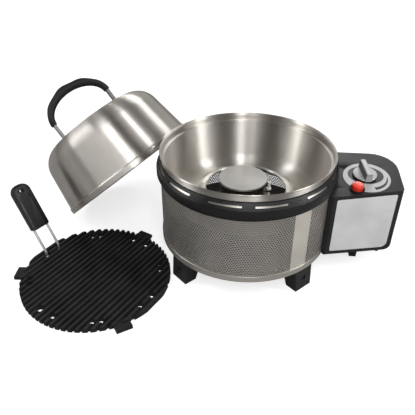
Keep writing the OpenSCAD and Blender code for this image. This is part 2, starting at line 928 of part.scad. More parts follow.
// Hollow drum that spreads the gas to the flame ports, with an ear for the electrode
module burner_drum() {
    color("#3a3733")
        difference() {
            union() {
                translate([burner_x, 0, drum_z])
                    cylinder(h = drum_h, r = drum_r);
                translate([burner_x, electrode_y - ear_w / 2, ear_z])
                    cube([drum_r + electrode_off, ear_w, ear_t]);
                translate([electrode_x, electrode_y, ear_z])
                    cylinder(h = ear_t, d = ear_w);
                translate([burner_x, 0, drum_top - tiny])
                    for (a = [90 : 120 : 330])
                        rotate([0, 0, a])
                            translate([drum_r - 3 * drum_t, 0, 0])
                                cylinder(h = cap_lift + tiny, r = 2 * drum_t);
            }
            translate([burner_x, 0, drum_z + drum_t])
                cylinder(h = drum_h - 2 * drum_t, r = drum_r - drum_t);
            on_tube()
                cylinder(h = drum_r * 1.6, r = tube_r + seat);
            translate([burner_x, 0, drum_top - drum_t - port_d])
                for (i = [0 : port_count - 1])
                    rotate([0, 90, 360 * i / port_count])
                        translate([0, 0, drum_r - 2 * drum_t])
                            cylinder(h = 4 * drum_t, d = port_d);
            translate([electrode_x, electrode_y, ear_z - past])
                cylinder(h = ear_t + 2 * past, d = ceramic_d + 2 * seat);
        }
}

// Flat cap over the flame ports, with a turned-down edge
module burner_cap() {
    edge = cap_t / 3;
    color("darkgray")
        translate([burner_x, 0, cap_z])
            rotate_extrude()
                polygon([
                    [0, 0],
                    [cap_r - cap_t, 0],
                    [cap_r - cap_t, -edge],
                    [cap_r, -edge],
                    [cap_r, cap_t - edge],
                    [cap_r - edge, cap_t],
                    [0, cap_t]
                ]);
}

// Strap that carries the burner from the wall of the shell
module burner_bracket() {
    path = [
        [burner_x + bracket_tail, drum_z],
        [burner_x - bracket_reach, drum_z],
        [strap_t - bracket_end, drum_z - bracket_drop],
        [strap_t - bracket_end, drum_z - bracket_drop + bracket_tab_h]
    ];
    far_side = beside(path, strap_t);
    color("gray")
        difference() {
            rotate([90, 0, 0])
                linear_extrude(height = strap_w, center = true)
                    polygon(concat(path, [for (i = [len(path) - 1 : -1 : 0]) far_side[i]]));
            on_tube()
                cylinder(h = drum_r * 1.6, r = tube_r + move_gap);
            facing(180, bracket_end - strap_t - past, rivet_z)
                cylinder(h = strap_t + 2 * past, d = screw_d + 2 * seat);
        }
}

// Rivet that holds the strap to the shell
module bracket_rivet() {
    color("gainsboro")
        facing(180, shell_r + seat, rivet_z)
            screw(shell_r + seat - bracket_end + 2 * strap_t, head_h = screw_head_h / 2);
}

// Sloping tube in which gas and air mix on the way to the drum
module mixing_tube() {
    color("gray")
        difference() {
            on_tube()
                translate([0, 0, tube_start])
                    cylinder(h = tube_end - tube_start, r = tube_r);
            on_tube()
                translate([0, 0, tube_start - past])
                    cylinder(h = tube_end - tube_start + 2 * past, r = tube_r - tube_t);
            on_tube()
                translate([0, 0, tube_end - jet_l - 2 * tube_r])
                    for (a = [0, 90])
                        rotate([0, 0, a])
                            rotate([90, 0, 0])
                                cylinder(h = 3 * tube_r, r = tube_r / 2, center = true);
        }
}

// Brass jet in the end of the mixing tube
module gas_jet() {
    jet_r = tube_r - tube_t - seat;
    color("goldenrod")
        on_tube()
            translate([0, 0, tube_end - jet_l])
                difference() {
                    union() {
                        translate([0, 0, jet_l / 3])
                            cylinder(h = jet_l * 2 / 3, r = jet_r);
                        cylinder(h = jet_l / 2, r1 = jet_r / 3, r2 = jet_r * 0.8);
                        translate([0, 0, jet_l])
                            cylinder(h = 3, r = tube_r, $fn = 6);
                    }
                    translate([0, 0, jet_l + 3 - jet_bore_l])
                        cylinder(h = jet_bore_l + past, r = pipe_r + seat);
                }
}

// Gas pipe from the valve down to the jet
module gas_pipe() {
    low_s = (pipe_x - burner_x) / cos(tube_slope);
    jet_s = tube_end + 3 - jet_bore_l + past;
    function at_tube(s) = [burner_x + s * cos(tube_slope), 0, tube_z - s * sin(tube_slope)];
    color("goldenrod")
        bar_along(
            rounded_route([
                [knob_x - valve_r - spigot_l, 0, valve_z],
                [pipe_x, 0, valve_z],
                at_tube(low_s),
                at_tube(jet_s)
            ], pipe_bend_r, 6),
            pipe_r, 10
        );
}

// Ceramic of the spark electrode
module electrode_ceramic() {
    color("ivory")
        translate([electrode_x, electrode_y, ear_z + ear_t])
            union() {
                translate([0, 0, -ceramic_down - ear_t])
                    cylinder(h = ceramic_down + ear_t + ceramic_up, d = ceramic_d);
                cylinder(h = ceramic_collar_h, d = ceramic_collar_d);
            }
}

// Bent wire of the spark electrode
module electrode_wire() {
    foot = [electrode_x, electrode_y, ear_z + ear_t + ceramic_up];
    color("lightgray")
        bar_along(
            rounded_route([
                foot,
                foot + [0, 0, spark_up],
                foot + [-electrode_off / 2, 0, spark_up + 1]
            ], 2 * spark_d, 4),
            spark_d / 2, 8
        );
}

// Lead from the igniter to the electrode
module igniter_lead() {
    color("#222222")
        bar_along(rounded_route(lead_route, 6, 3), lead_d / 2, 8);
}

// Plan of the gas box, run on into the shell so that the shell closes it
box_plan = [
    [box_front_x, box_front_y, box_blend],
    [box_x, box_end_y, box_front_r],
    [box_x, box_back_y, box_back_r],
    [box_side[0], box_back_y, box_blend],
    [box_side[0], box_side[1], box_blend]
];

// Block of the gas box drawn in by d, with its sloping top lowered by the same amount
module box_block(d, low, heel) {
    plan = rounded_outline(drawn_in(box_plan, d), 6);
    side = [
        [box_side[0] - past, low],
        [box_x - box_heel_r, low],
        each [for (k = [0 : 6]) let (a = -90 + 15 * k) [
            box_x - box_heel_r + (box_heel_r - d) * cos(a),
            box_z + box_heel_r + (box_heel_r - d) * sin(a)
        ]],
        [box_x - d, box_far],
        [box_side[0] - past, box_far]
    ];
    difference() {
        intersection() {
            linear_extrude(height = box_far)
                polygon(plan);
            rotate([90, 0, 0])
                linear_extrude(height = box_far, center = true)
                    polygon(heel ? side : [[0, low], [box_far, low], [box_far, box_far], [0, box_far]]);
        }
        on_panel(0, 0)
            translate([0, -box_far, -d])
                cube([box_far, 2 * box_far, box_far]);
    }
}

// Room that the body takes out of the gas box
module body_room(gap) {
    cylinder(h = box_far, r = shell_r + gap, $fn = 128);
    cylinder(h = foot_h + trim_h + gap, r = trim_r + gap, $fn = 128);
    translate([0, 0, ring_z - ring_collar_h - gap])
        cylinder(h = box_far, r = collar_r + gap, $fn = 128);
    translate([0, 0, ring_z - gap])
        cylinder(h = box_far, r = ring_r + gap, $fn = 128);
}

// Front face of the box: X runs along it to the right, Y up, Z outwards
front_run = [box_x - box_front_x, box_end_y - box_front_y];
front_turn = atan2(front_run[1], front_run[0]);
module on_front() {
    translate([box_front_x, box_front_y, box_z])
        rotate([0, 0, front_turn])
            rotate([90, 0, 0])
                children();
}

// Outline of the label plate on the front face
module label_outline(room) {
    right = norm(front_run) - box_front_r - label_right + room;
    left = label_left - room;
    low = label_edge - room;
    high = panel_z - box_z + box_front_y * tan(panel_slope) - label_edge + room;
    rise = (right - left) * tan(panel_slope) * sin(front_turn);
    polygon(rounded_outline([
        [left, low, label_corner_r],
        [right, low, box_heel_r - label_edge / 2],
        [right, high + rise, label_corner_r],
        [left, high, label_corner_r]
    ], 4));
}

// The part of the box's wall that is the door, with play g all round
module door_region(g) {
    translate([hinge_x + move_gap / 2 - g, door_edge_y - g, door_z - g])
        cube([box_far, box_far, door_h + 2 * g]);
}

// Moulded housing of the gas box
module box_housing() {
    color("#1a1a1a")
        difference() {
            union() {
                difference() {
                    box_block(0, box_z, true);
                    box_block(box_wall, box_z - past, true);
                    door_region(move_gap);
                }
                intersection() {
                    box_block(box_wall / 2, box_z + base_t, true);
                    union() {
                        for (side = [-1, 1])
                            rotate([0, 0, side * box_post_angle])
                                translate([box_post_at, 0, box_z + base_t])
                                    cylinder(h = box_post_top - box_z, r = box_post_r);
                        translate([box_end_post[0], box_end_post[1], box_z + base_t])
                            cylinder(h = box_post_top - box_z, r = box_post_r);
                    }
                }
                for (z = [door_z, door_z + door_h - knuckle_h])
                    translate([hinge_x, hinge_y, z]) {
                        cylinder(h = knuckle_h, r = knuckle_r);
                        translate([-2 * knuckle_r, box_back_y - box_wall - hinge_y, 0])
                            cube([2 * knuckle_r - move_gap, hinge_y - box_back_y + box_wall, knuckle_h]);
                    }
            }
            body_room(move_gap);
            translate([hinge_x, hinge_y, box_z])
                cylinder(h = box_far, r = hinge_pin_r + run_gap);
            on_front()
                translate([0, 0, -label_t])
                    linear_extrude(height = past + label_t)
                        label_outline(label_room);
            on_panel(knob_x, knob_y)
                translate([0, 0, -2 * box_wall])
                    cylinder(h = 3 * box_wall, r = valve_neck_r + seat);
            on_panel(button_x, button_y)
                translate([0, 0, -2 * box_wall])
                    cylinder(h = 3 * box_wall, r = button_r + move_gap);
            for (side = [-1, 1], z = box_screw_z)
                facing(side * box_post_angle, shell_r, z)
                    cylinder(h = 3 * box_post_r, d = screw_d + 2 * run_gap);
            for (p = base_screw_places())
                translate([p[0], p[1], box_z])
                    cylinder(h = 8 + base_t, d = screw_d + 2 * run_gap);
        }
}

// Where the base is screwed to the posts of the housing
function base_screw_places() = [
    box_post_at * [cos(box_post_angle), sin(box_post_angle)],
    box_post_at * [cos(box_post_angle), -sin(box_post_angle)],
    box_end_post
];

// Bare plate set into the front of the box
module label_plate() {
    color("gainsboro")
        on_front()
            translate([0, 0, -label_t])
                linear_extrude(height = label_t)
                    label_outline(0);
}

// Base of the gas box with its foot
module box_base() {
    foot_x = (shell_r + box_x) / 2 - box_foot_w / 2;
    color("#202020")
        difference() {
            union() {
                intersection() {
                    box_block(box_wall + base_room, box_z, false);
                    translate([0, -box_far, box_z])
                        cube([box_x - box_heel_r - base_room, 2 * box_far, base_t]);
                }
                translate([foot_x, 0, 0])
                    rotate([90, 0, 90])
                        linear_extrude(height = box_foot_w)
                            polygon([
                                [-box_foot_l / 2, box_z],
                                [-box_foot_l / 2 + box_foot_draft, 0],
                                [box_foot_l / 2 - box_foot_draft, 0],
                                [box_foot_l / 2, box_z]
                            ]);
            }
            body_room(move_gap);
            for (p = base_screw_places())
                translate([p[0], p[1], box_z - past])
                    cylinder(h = base_t + 2 * past, d = screw_d + 2 * seat);
        }
}

// Screws of the gas box: four through the shell, three through the base
module box_screws() {
    color("dimgray")
        union() {
            for (side = [-1, 1], z = box_screw_z)
                facing(side * box_post_angle, shell_in - seat, z)
                    mirror([0, 0, 1])
                        screw(2 * box_post_r + shell_t);
            for (p = base_screw_places())
                translate([p[0], p[1], box_z])
                    mirror([0, 0, 1])
                        screw(base_t + 7);
        }
}

// Door over the cartridge, wrapped round the outer back corner of the box
module cartridge_door() {
    mid_z = door_z + knuckle_h + move_gap;
    mid_h = door_h - 2 * knuckle_h - 2 * move_gap;
    color("#161616")
        difference() {
            union() {
                intersection() {
                    difference() {
                        box_block(0, box_z, true);
                        box_block(box_wall, box_z - past, true);
                    }
                    door_region(0);
                }
                translate([hinge_x, hinge_y, mid_z]) {
                    cylinder(h = mid_h, r = knuckle_r);
                    translate([move_gap / 2, box_back_y - box_wall - hinge_y, 0])
                        cube([2 * knuckle_r, hinge_y - box_back_y + box_wall, mid_h]);
                }
                translate([box_x, door_edge_y + 2 * pull_r, door_z + (door_h - pull_h) / 2])
                    cylinder(h = pull_h, r = pull_r);
            }
            translate([hinge_x, hinge_y, box_z])
                cylinder(h = box_far, r = hinge_pin_r + run_gap);
        }
}

// Pin of the door's hinge
module door_hinge_pin() {
    color("silver")
        translate([hinge_x, hinge_y, door_z])
            cylinder(h = door_h, r = hinge_pin_r);
}

// Round plate behind the knob, cut away for the button
module dial_plate() {
    color("gainsboro")
        difference() {
            on_panel(knob_x, knob_y)
                translate([dial_right, -dial_front, 0])
                    cylinder(h = dial_t, r = dial_r);
            on_panel(knob_x, knob_y)
                translate([0, 0, -past])
                    cylinder(h = dial_t + 2 * past, r = valve_neck_r + 2 * seat);
            on_panel(button_x, button_y)
                translate([0, 0, -past])
                    cylinder(h = dial_t + 2 * past, r = button_r + move_gap + collar_t + seat);
            body_room(move_gap);
        }
}

// Knob with a round skirt and a bar to grip
module control_knob() {
    skirt_in = knob_skirt_h / 4;
    color("silver")
        on_panel(knob_x, knob_y)
            translate([0, 0, knob_lift])
                difference() {
                    union() {
                        rotate_extrude()
                            polygon([
                                [0, 0],
                                [knob_r, 0],
                                [knob_r, knob_skirt_h - skirt_in],
                                [knob_r - skirt_in, knob_skirt_h],
                                [0, knob_skirt_h]
                            ]);
                        rotate([0, 0, bar_angle])
                            rotate([90, 0, 90])
                                linear_extrude(height = bar_l, center = true)
                                    polygon([
                                        [-bar_w / 2, knob_skirt_h / 2],
                                        [bar_w / 2, knob_skirt_h / 2],
                                        [bar_w / 2 - 1, knob_skirt_h + bar_h - 1.5],
                                        [bar_w / 2 - 2.5, knob_skirt_h + bar_h],
                                        [2.5 - bar_w / 2, knob_skirt_h + bar_h],
                                        [1 - bar_w / 2, knob_skirt_h + bar_h - 1.5]
                                    ]);
                    }
                    translate([0, 0, -past])
                        cylinder(h = knob_hold + past + seat, r = spindle_r + seat);
                }
}

// Spindle that the knob turns in the valve
module valve_spindle() {
    color("goldenrod")
        on_panel(knob_x, knob_y)
            translate([0, 0, -valve_depth + 4])
                cylinder(h = valve_depth - 4 + knob_lift + knob_hold, r = spindle_r);
}

// Valve with its neck in the panel, its thread for the cartridge and its outlet
module valve_body() {
    color("peru")
        difference() {
            union() {
                on_panel(knob_x, knob_y)
                    translate([0, 0, -valve_depth - 8])
                        cylinder(h = valve_depth / 2 + 4, r = valve_r);
                on_panel(knob_x, knob_y)
                    translate([0, 0, -valve_depth])
                        cylinder(h = valve_depth + dial_t / 2, r = valve_neck_r);
                translate([knob_x, 0, can_top + connector_gap])
                    cylinder(h = valve_z - can_top - connector_gap, r = connector_r);
                translate([knob_x, 0, valve_z])
                    rotate([0, -90, 0])
                        cylinder(h = valve_r + spigot_l, r = spigot_r);
            }
            on_panel(knob_x, knob_y)
                translate([0, 0, -valve_depth + 2])
                    cylinder(h = valve_depth + 2 * past, r = spindle_r + run_gap);
            translate([knob_x, 0, can_top])
                cylinder(h = can_neck_h + connector_gap, r = can_neck_r + seat);
        }
}

// Piezo igniter under the button
module piezo_igniter() {
    color("#2a2a2a")
        on_panel(button_x, button_y)
            difference() {
                translate([0, 0, -barrel_l])
                    cylinder(h = barrel_l - box_wall, r = button_r + move_gap + barrel_t);
                translate([0, 0, -barrel_step])
                    cylinder(h = barrel_step, r = button_r + move_gap);
                translate([0, 0, -button_in - stem_l - button_travel - 2])
                    cylinder(h = stem_l + button_travel + 2, r = stem_r + run_gap);
            }
}

// Collar round the button
module button_collar() {
    color("#101010")
        on_panel(button_x, button_y)
            hoop(button_r + move_gap, button_r + move_gap + collar_t, 0, collar_h);
}

// Red push button with its stem
module igniter_button() {
    edge = 1.2;
    color("red")
        on_panel(button_x, button_y)
            rotate_extrude()
                polygon([
                    [0, -button_in - stem_l],
                    [stem_r, -button_in - stem_l],
                    [stem_r, -button_in],
                    [button_r, -button_in],
                    [button_r, collar_h + button_up - edge],
                    [button_r - edge, collar_h + button_up],
                    [0, collar_h + button_up]
                ]);
}

// Screw-on gas cartridge standing in the box, hollow and open through its neck
module gas_cartridge() {
    wall_h = can_h - 14;
    hollow = 4;
    path = [
        [0, hollow],
        [can_r - 14, hollow],
        [can_r - 6, 0],
        [can_r - 1, 0],
        [can_r, 2],
        [can_r, wall_h],
        [can_r - 3, wall_h + 4],
        [can_r * 0.7, wall_h + 9],
        [2.4 * can_neck_r, can_h - 1],
        [2 * can_neck_r, can_h],
        [can_neck_r, can_h],
        [can_neck_r, can_h + can_neck_h]
    ];
    color("steelblue")
        translate([knob_x, 0, can_z])
            turned(path, can_t);
}

// Outer face of the lid from its rim to the middle of its top
function lid_path() = concat(
    [
        [lid_r, 0],
        [lid_r, lid_band_h],
        [lid_wall_r, lid_band_h + lid_step_w]
    ],
    [for (k = [0 : turn_steps]) let (a = lid_draft + (90 - lid_draft) * k / turn_steps) [
        lid_turn_r - lid_shoulder_r * (cos(lid_draft) - cos(a)),
        lid_wall_top + lid_shoulder_r * (sin(a) - sin(lid_draft))
    ]],
    [[lid_flat_r, lid_h], [0, lid_h]]
);

// Domed lid
module lid_shell() {
    color("silver")
        difference() {
            on_lid()
                turned(lid_path(), lid_t);
            for (side = [-1, 1])
                on_handle()
                    translate([0, side * handle_screw_at, lid_h - lid_t - past])
                        cylinder(h = lid_t + 2 * past, d = screw_d + 2 * seat);
        }
}

// Two steel legs of the lid's handle, each with a foot bent inwards
module lid_handle_legs() {
    reach = handle_w / 2 + leg_t / 2;
    path = rounded_route([
        [reach - leg_foot_l, lid_h],
        [reach, lid_h],
        [reach, lid_h + handle_leg_h]
    ], leg_bend_r, 5);
    far_side = beside(path, leg_t);
    color("gray")
        on_handle()
            for (side = [0, 1])
                mirror([0, side, 0])
                    difference() {
                        rotate([90, 0, 90])
                            linear_extrude(height = leg_w, center = true)
                                polygon(concat(path, [for (i = [len(path) - 1 : -1 : 0]) far_side[i]]));
                        translate([0, handle_screw_at, lid_h - past])
                            cylinder(h = leg_t + 2 * past, d = screw_d + 2 * seat);
                    }
}

// Arched grip of the lid's handle, thicker towards the fingers in its middle
module lid_handle_grip() {
    function swell(a) = grip_swell * pow(sin(a), 2);
    color("#151515")
        on_handle()
            translate([0, 0, lid_h + handle_leg_h])
                skin([
                    for (i = [0 : grip_rings])
                        let (
                            a = 180 * i / grip_rings,
                            heading = unit([0, -handle_w / 2 * sin(a), handle_arch_h * cos(a)]),
                            out = cross(heading, [-1, 0, 0]),
                            spine = [0, handle_w / 2 * cos(a), handle_arch_h * sin(a)],
                            middle = spine - out * swell(a) / 2,
                            thick = (grip_t + swell(a)) / 2
                        )
                        [for (k = [0 : grip_sides - 1])
                            let (c = cos(360 * k / grip_sides), s = sin(360 * k / grip_sides))
                            middle + out * thick * c - [1, 0, 0] * grip_w / 2 * s]
                ]);
}

// Screws and nuts that hold the legs to the lid
module lid_handle_screws() {
    color("dimgray")
        on_handle()
            for (side = [-1, 1])
                translate([0, side * handle_screw_at, lid_h + leg_t]) {
                    screw(leg_t + lid_t + 4, head_h = 1.5 * screw_head_h);
                    translate([0, 0, -leg_t - lid_t - 3])
                        cylinder(h = 3, d = 1.8 * screw_d, $fn = 6);
                }
}

// Ribbed griddle plate with three tabs and pairs of drain holes
module griddle_plate() {
    color("#141414")
        on_griddle()
            difference() {
                union() {
                    cylinder(h = griddle_t, r = plate_r, $fn = 128);
                    intersection() {
                        cylinder(h = griddle_top, r = griddle_r, $fn = 128);
                        for (i = [-rib_n : rib_n])
                            translate([0, i * rib_pitch, 0])
                                rotate([90, 0, 90])
                                    linear_extrude(height = 2 * griddle_r + 2 * past, center = true)
                                        polygon([
                                            [-rib_w / 2, 0],
                                            [rib_w / 2, 0],
                                            [rib_w / 2, griddle_t - tiny],
                                            [rib_top_w / 2, griddle_top],
                                            [-rib_top_w / 2, griddle_top],
                                            [-rib_w / 2, griddle_t - tiny]
                                        ]);
                    }
                    for (a = [0 : 120 : 240])
                        rotate([0, 0, a])
                            translate([plate_r - 2 * rib_over, -tab_w / 2, 0])
                                cube([3 * rib_over + tab_l, tab_w, griddle_t + rib_h / 2]);
                }
                for (i = [0 : 7], side = [-1, 1])
                    rotate([0, 0, 45 * i + drain_turn])
                        translate([drain_at, side * (i % 2 == 0 ? drain_wide : drain_narrow) / 2, 0]) {
                            translate([0, 0, -past])
                                cylinder(h = griddle_top + 2 * past, d = drain_d);
                            translate([0, 0, griddle_t + drain_step])
                                cylinder(h = rib_h + past, d = drain_d + drain_clear);
                        }
            }
}

// Children placed along the lifter: Z runs up its slope from the elbow of the wires
module on_lifter() {
    on_griddle()
        rotate([0, 0, 90 + drain_turn])
            translate([hook_at, 0, elbow_z])
                rotate([0, 90 - lifter_slope, 0])
                    children();
}

// Two wires of the lifter, their tips in a pair of drain holes
module lifter_wires() {
    run = wire_l + wire_in;
    color("silver")
        on_griddle()
            rotate([0, 0, 90 + drain_turn])
                for (side = [-1, 1])
                    bar_along(
                        rounded_route([
                            [hook_at, side * drain_wide / 2, tip_z],
                            [hook_at, side * drain_wide / 2, elbow_z],
                            [
                                hook_at + run * cos(lifter_slope),
                                side * drain_wide / 2,
                                elbow_z + run * sin(lifter_slope)
                            ]
                        ], wire_bend_r, 5),
                        wire_d / 2, 10
                    );
}

// Grip of the lifter with a hanging hole
module lifter_grip() {
    wide = lifter_w / 2;
    outline = rounded_outline([
        [-wide, 0, 4],
        [wide, 0, 4],
        [wide, lifter_l, wide * 0.9],
        [-wide, lifter_l, wide * 0.9]
    ], 8);
    side = rounded_outline([
        [-lifter_t / 2, -past, 1],
        [lifter_t / 2, -past, 1],
        [lifter_t / 2, lifter_l, lifter_t * 0.4],
        [-lifter_t / 2, lifter_l, lifter_t * 0.4]
    ], 4);
    color("#121212")
        on_lifter()
            translate([0, 0, wire_l])
                difference() {
                    intersection() {
                        rotate([90, 0, 90])
                            linear_extrude(height = lifter_t + 2 * past, center = true)
                                polygon(outline);
                        rotate([90, 0, 0])
                            linear_extrude(height = lifter_w + 2 * past, center = true)
                                polygon(side);
                    }
                    for (s = [-1, 1])
                        translate([0, s * drain_wide / 2, -past])
                            cylinder(h = wire_in + past + seat, d = wire_d + 2 * seat);
                    translate([0, 0, lifter_l - 1.6 * hang_d])
                        rotate([0, 90, 0])
                            cylinder(h = 2 * lifter_t, d = hang_d, center = true);
                    for (s = [-1, 1])
                        translate([s * lifter_t / 2 - 0.8, -inset_w / 2, lifter_l * 0.18])
                            cube([1.6, inset_w, lifter_l * 0.5]);
                }
}

mesh_shell();
shell_seam();
trim_ring();
base_pan();
foot_front_left();
foot_front_right();
foot_rear_left();
foot_rear_right();
foot_screws();
top_ring();
bowl();
burner_drum();
burner_cap();
burner_bracket();
bracket_rivet();
mixing_tube();
gas_jet();
gas_pipe();
electrode_ceramic();
electrode_wire();
igniter_lead();
box_housing();
label_plate();
box_base();
box_screws();
cartridge_door();
door_hinge_pin();
dial_plate();
control_knob();
valve_spindle();
valve_body();
piezo_igniter();
button_collar();
igniter_button();
gas_cartridge();
lid_shell();
lid_handle_legs();
lid_handle_grip();
lid_handle_screws();
griddle_plate();
lifter_wires();
lifter_grip();
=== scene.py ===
"""Portable gas grill: the looks of its pieces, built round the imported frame."""

import json
import math

import bmesh
import bpy
from bpy.props import FloatProperty, FloatVectorProperty, IntProperty, PointerProperty
from bpy.types import Operator, Panel, PropertyGroup
from mathutils import Matrix, Vector


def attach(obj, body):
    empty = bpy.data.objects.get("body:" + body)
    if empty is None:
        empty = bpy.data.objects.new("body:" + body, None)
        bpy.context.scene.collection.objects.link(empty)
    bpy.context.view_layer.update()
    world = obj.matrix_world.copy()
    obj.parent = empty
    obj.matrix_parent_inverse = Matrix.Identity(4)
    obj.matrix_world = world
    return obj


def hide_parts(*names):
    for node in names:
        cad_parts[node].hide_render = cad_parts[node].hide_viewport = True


bl_info = {
    "name": "Portable gas grill",
    "version": (1, 0, 0),
    "blender": (4, 5, 0),
    "location": "3D View > Sidebar > Grill",
    "description": "Builds the visible pieces of a portable gas grill round its packed frame",
    "category": "Object",
}

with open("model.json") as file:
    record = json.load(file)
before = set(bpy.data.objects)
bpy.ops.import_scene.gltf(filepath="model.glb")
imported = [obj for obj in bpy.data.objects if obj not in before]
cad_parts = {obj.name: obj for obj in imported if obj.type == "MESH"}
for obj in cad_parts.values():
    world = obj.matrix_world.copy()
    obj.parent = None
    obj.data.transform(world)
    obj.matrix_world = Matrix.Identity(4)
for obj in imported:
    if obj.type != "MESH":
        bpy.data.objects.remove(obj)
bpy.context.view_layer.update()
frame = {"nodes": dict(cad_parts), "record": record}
MM = 0.001
TURN = 2 * math.pi

BODY_OF = {
    node: body
    for body, nodes in frame["record"]["behaviour"]["bodies"].items()
    for node in nodes
}

# Places and sizes of the pieces, in millimetres and degrees
SHELL_R, SHELL_LOW, SHELL_TOP = 155.0, 44.5, 183.5
BURNER_X, TUBE_Z, TUBE_HEADING = -6, 122, 112
BOWL_FLOOR, MOAT_FLOOR, MOAT_MIDDLE, BOWL_T = 138, 116, 110, 1.2
LID_ANGLE, LID_OUT, LID_Z, LID_LEAN = 157.5, 262.509, 100.254, 43.0
LID_H, LID_T, LID_DRAFT, LID_TURN_R = 128.5, 1.2, 9, 45
HANDLE_TURN, HANDLE_HALF, HANDLE_LEG, HANDLE_RISE = -30.0, 66.5, 34, 44
PANEL_Z, PANEL_SLOPE = 175.5, 7.5
KNOB_AT, SKIRT_H, PRINT_Z = (208.0, -4.960), 6.2, 1.06
FRONT_TURN = 12.85
GRIDDLE_ANGLE, GRIDDLE_AT, RIB_ANGLE, DRAIN_TURN = -155.5, 290.65, 63.5, -3.0
HOOK_AT, ELBOW_Z, LIFTER_SLOPE = 120.35, 13, 60

# The camera: lens in millimetres, place in metres and the way it looks
LENS, EYE, LOOK = 43.37, (0.0065, -0.7912, 0.6235), (-0.0808, 0.8243, -0.5603)


def turned(axis, degrees):
    return Matrix.Rotation(math.radians(degrees), 4, axis)


def moved(x, y, z):
    return Matrix.Translation((x * MM, y * MM, z * MM))


def on_panel(x, y):
    """Frame on the control panel, Z along its outward normal."""
    rise = y * math.tan(math.radians(PANEL_SLOPE))
    return moved(x, y, PANEL_Z + rise) @ turned("X", PANEL_SLOPE)


ON_LID = turned("Z", LID_ANGLE) @ moved(LID_OUT, 0, LID_Z) @ turned("Y", LID_LEAN)
ON_HANDLE = ON_LID @ turned("Z", HANDLE_TURN)
ON_GRIDDLE = (
    turned("Z", GRIDDLE_ANGLE) @ moved(GRIDDLE_AT, 0, 0) @ turned("Z", RIB_ANGLE - GRIDDLE_ANGLE)
)
ON_LIFTER = ON_GRIDDLE @ turned("Z", 90 + DRAIN_TURN)


class GrillSizes(PropertyGroup):
    """Sizes of the visible detail."""

    hole_pitch: FloatProperty(
        name="Hole pitch", description="Distance from hole to hole in the shell",
        default=4.4 * MM, min=3 * MM, max=9 * MM, unit="LENGTH",
    )
    hole_bar: FloatProperty(
        name="Bar between holes", description="Width of metal left between two holes",
        default=1.6 * MM, min=0.5 * MM, max=3 * MM, unit="LENGTH",
    )
    spin_steps: IntProperty(
        name="Spin steps", description="Steps round each turned piece", default=192, min=48, max=384,
    )
    edge: FloatProperty(
        name="Moulded edge", description="Radius on the edges of the moulded pieces",
        default=1.1 * MM, min=0.2 * MM, max=3 * MM, unit="LENGTH",
    )


class GrillColours(PropertyGroup):
    """Colours of the finishes."""

    steel: FloatVectorProperty(
        name="Steel", description="Brushed steel of bowl and lid", subtype="COLOR", size=3,
        default=(0.66, 0.63, 0.59), min=0, max=1,
    )
    sheet: FloatVectorProperty(
        name="Sheet", description="Plain steel sheet of the body", subtype="COLOR", size=3,
        default=(0.62, 0.59, 0.55), min=0, max=1,
    )
    black: FloatVectorProperty(
        name="Black", description="Black moulded pieces", subtype="COLOR", size=3,
        default=(0.018, 0.018, 0.019), min=0, max=1,
    )
    coating: FloatVectorProperty(
        name="Coating", description="Non-stick coating of the griddle", subtype="COLOR", size=3,
        default=(0.014, 0.014, 0.014), min=0, max=1,
    )
    red: FloatVectorProperty(
        name="Red", description="Igniter button", subtype="COLOR", size=3,
        default=(0.70, 0.035, 0.015), min=0, max=1,
    )
    silver: FloatVectorProperty(
        name="Silver", description="Bare front plate", subtype="COLOR", size=3,
        default=(0.84, 0.85, 0.86), min=0, max=1,
    )


class GrillStage(PropertyGroup):
    """Light and floor."""

    lamp_power: FloatProperty(
        name="Lamps", description="Strength of all lamps together", default=1.0, min=0, max=4,
    )
    sky: FloatProperty(
        name="Room light", description="Strength of the even light of the room", default=0.42, min=0, max=2,
    )


class Finish:
    """A node material and short calls that add nodes to it."""

    def __init__(self, name, colour, rough, metal=0.0):
        self.material = bpy.data.materials.new(name)
        self.material.use_nodes = True
        self.tree = self.material.node_tree
        self.shader = self.tree.nodes["Principled BSDF"]
        self.set("Base Color", (*colour, 1))
        self.set("Roughness", rough)
        self.set("Metallic", metal)
        self.colour = colour

    def set(self, socket, value):
        self.shader.inputs[socket].default_value = value

    def node(self, kind, values=(), **settings):
        node = self.tree.nodes.new(kind)
        for key, value in settings.items():
            setattr(node, key, value)
        for socket, value in dict(values).items():
            if isinstance(value, bpy.types.NodeSocket):
                self.tree.links.new(value, node.inputs[socket])
            else:
                node.inputs[socket].default_value = value
        return node

    def place(self, scale=(1, 1, 1), turn=(0, 0, 0)):
        """Object coordinates, turned and stretched."""
        start = self.node("ShaderNodeTexCoord").outputs["Object"]
        angles = [math.radians(a) for a in turn]
        return self.node(
            "ShaderNodeMapping", {"Vector": start, "Rotation": angles, "Scale": scale}
        ).outputs[0]

    def noise(self, vector, scale, detail=3.0, rough=0.5):
        return self.node(
            "ShaderNodeTexNoise",
            {"Vector": vector, "Scale": scale, "Detail": detail, "Roughness": rough},
        ).outputs[0]

    def between(self, fac, low, high, span=(0.3, 0.7)):
        return self.node(
            "ShaderNodeMapRange",
            {"Value": fac, "From Min": span[0], "From Max": span[1], "To Min": low, "To Max": high},
        ).outputs[0]

    def tinted(self, fac, low, high, span=(0.3, 0.7)):
        """Colour that runs from low to high times the finish's own."""
        ramp = self.node("ShaderNodeValToRGB", {0: fac})
        for stop, place, share in zip(ramp.color_ramp.elements, span, (low, high)):
            stop.position = place
            shares = share if isinstance(share, tuple) else (share,) * 3
            stop.color = (*(min(1, c * s) for c, s in zip(self.colour, shares)), 1)
        self.tree.links.new(ramp.outputs[0], self.shader.inputs["Base Color"])

    def feed(self, socket, output):
        self.tree.links.new(output, self.shader.inputs[socket])

    def bump(self, height, strength, distance):
        values = {"Height": height, "Strength": strength, "Distance": distance}
        self.feed("Normal", self.node("ShaderNodeBump", values).outputs[0])


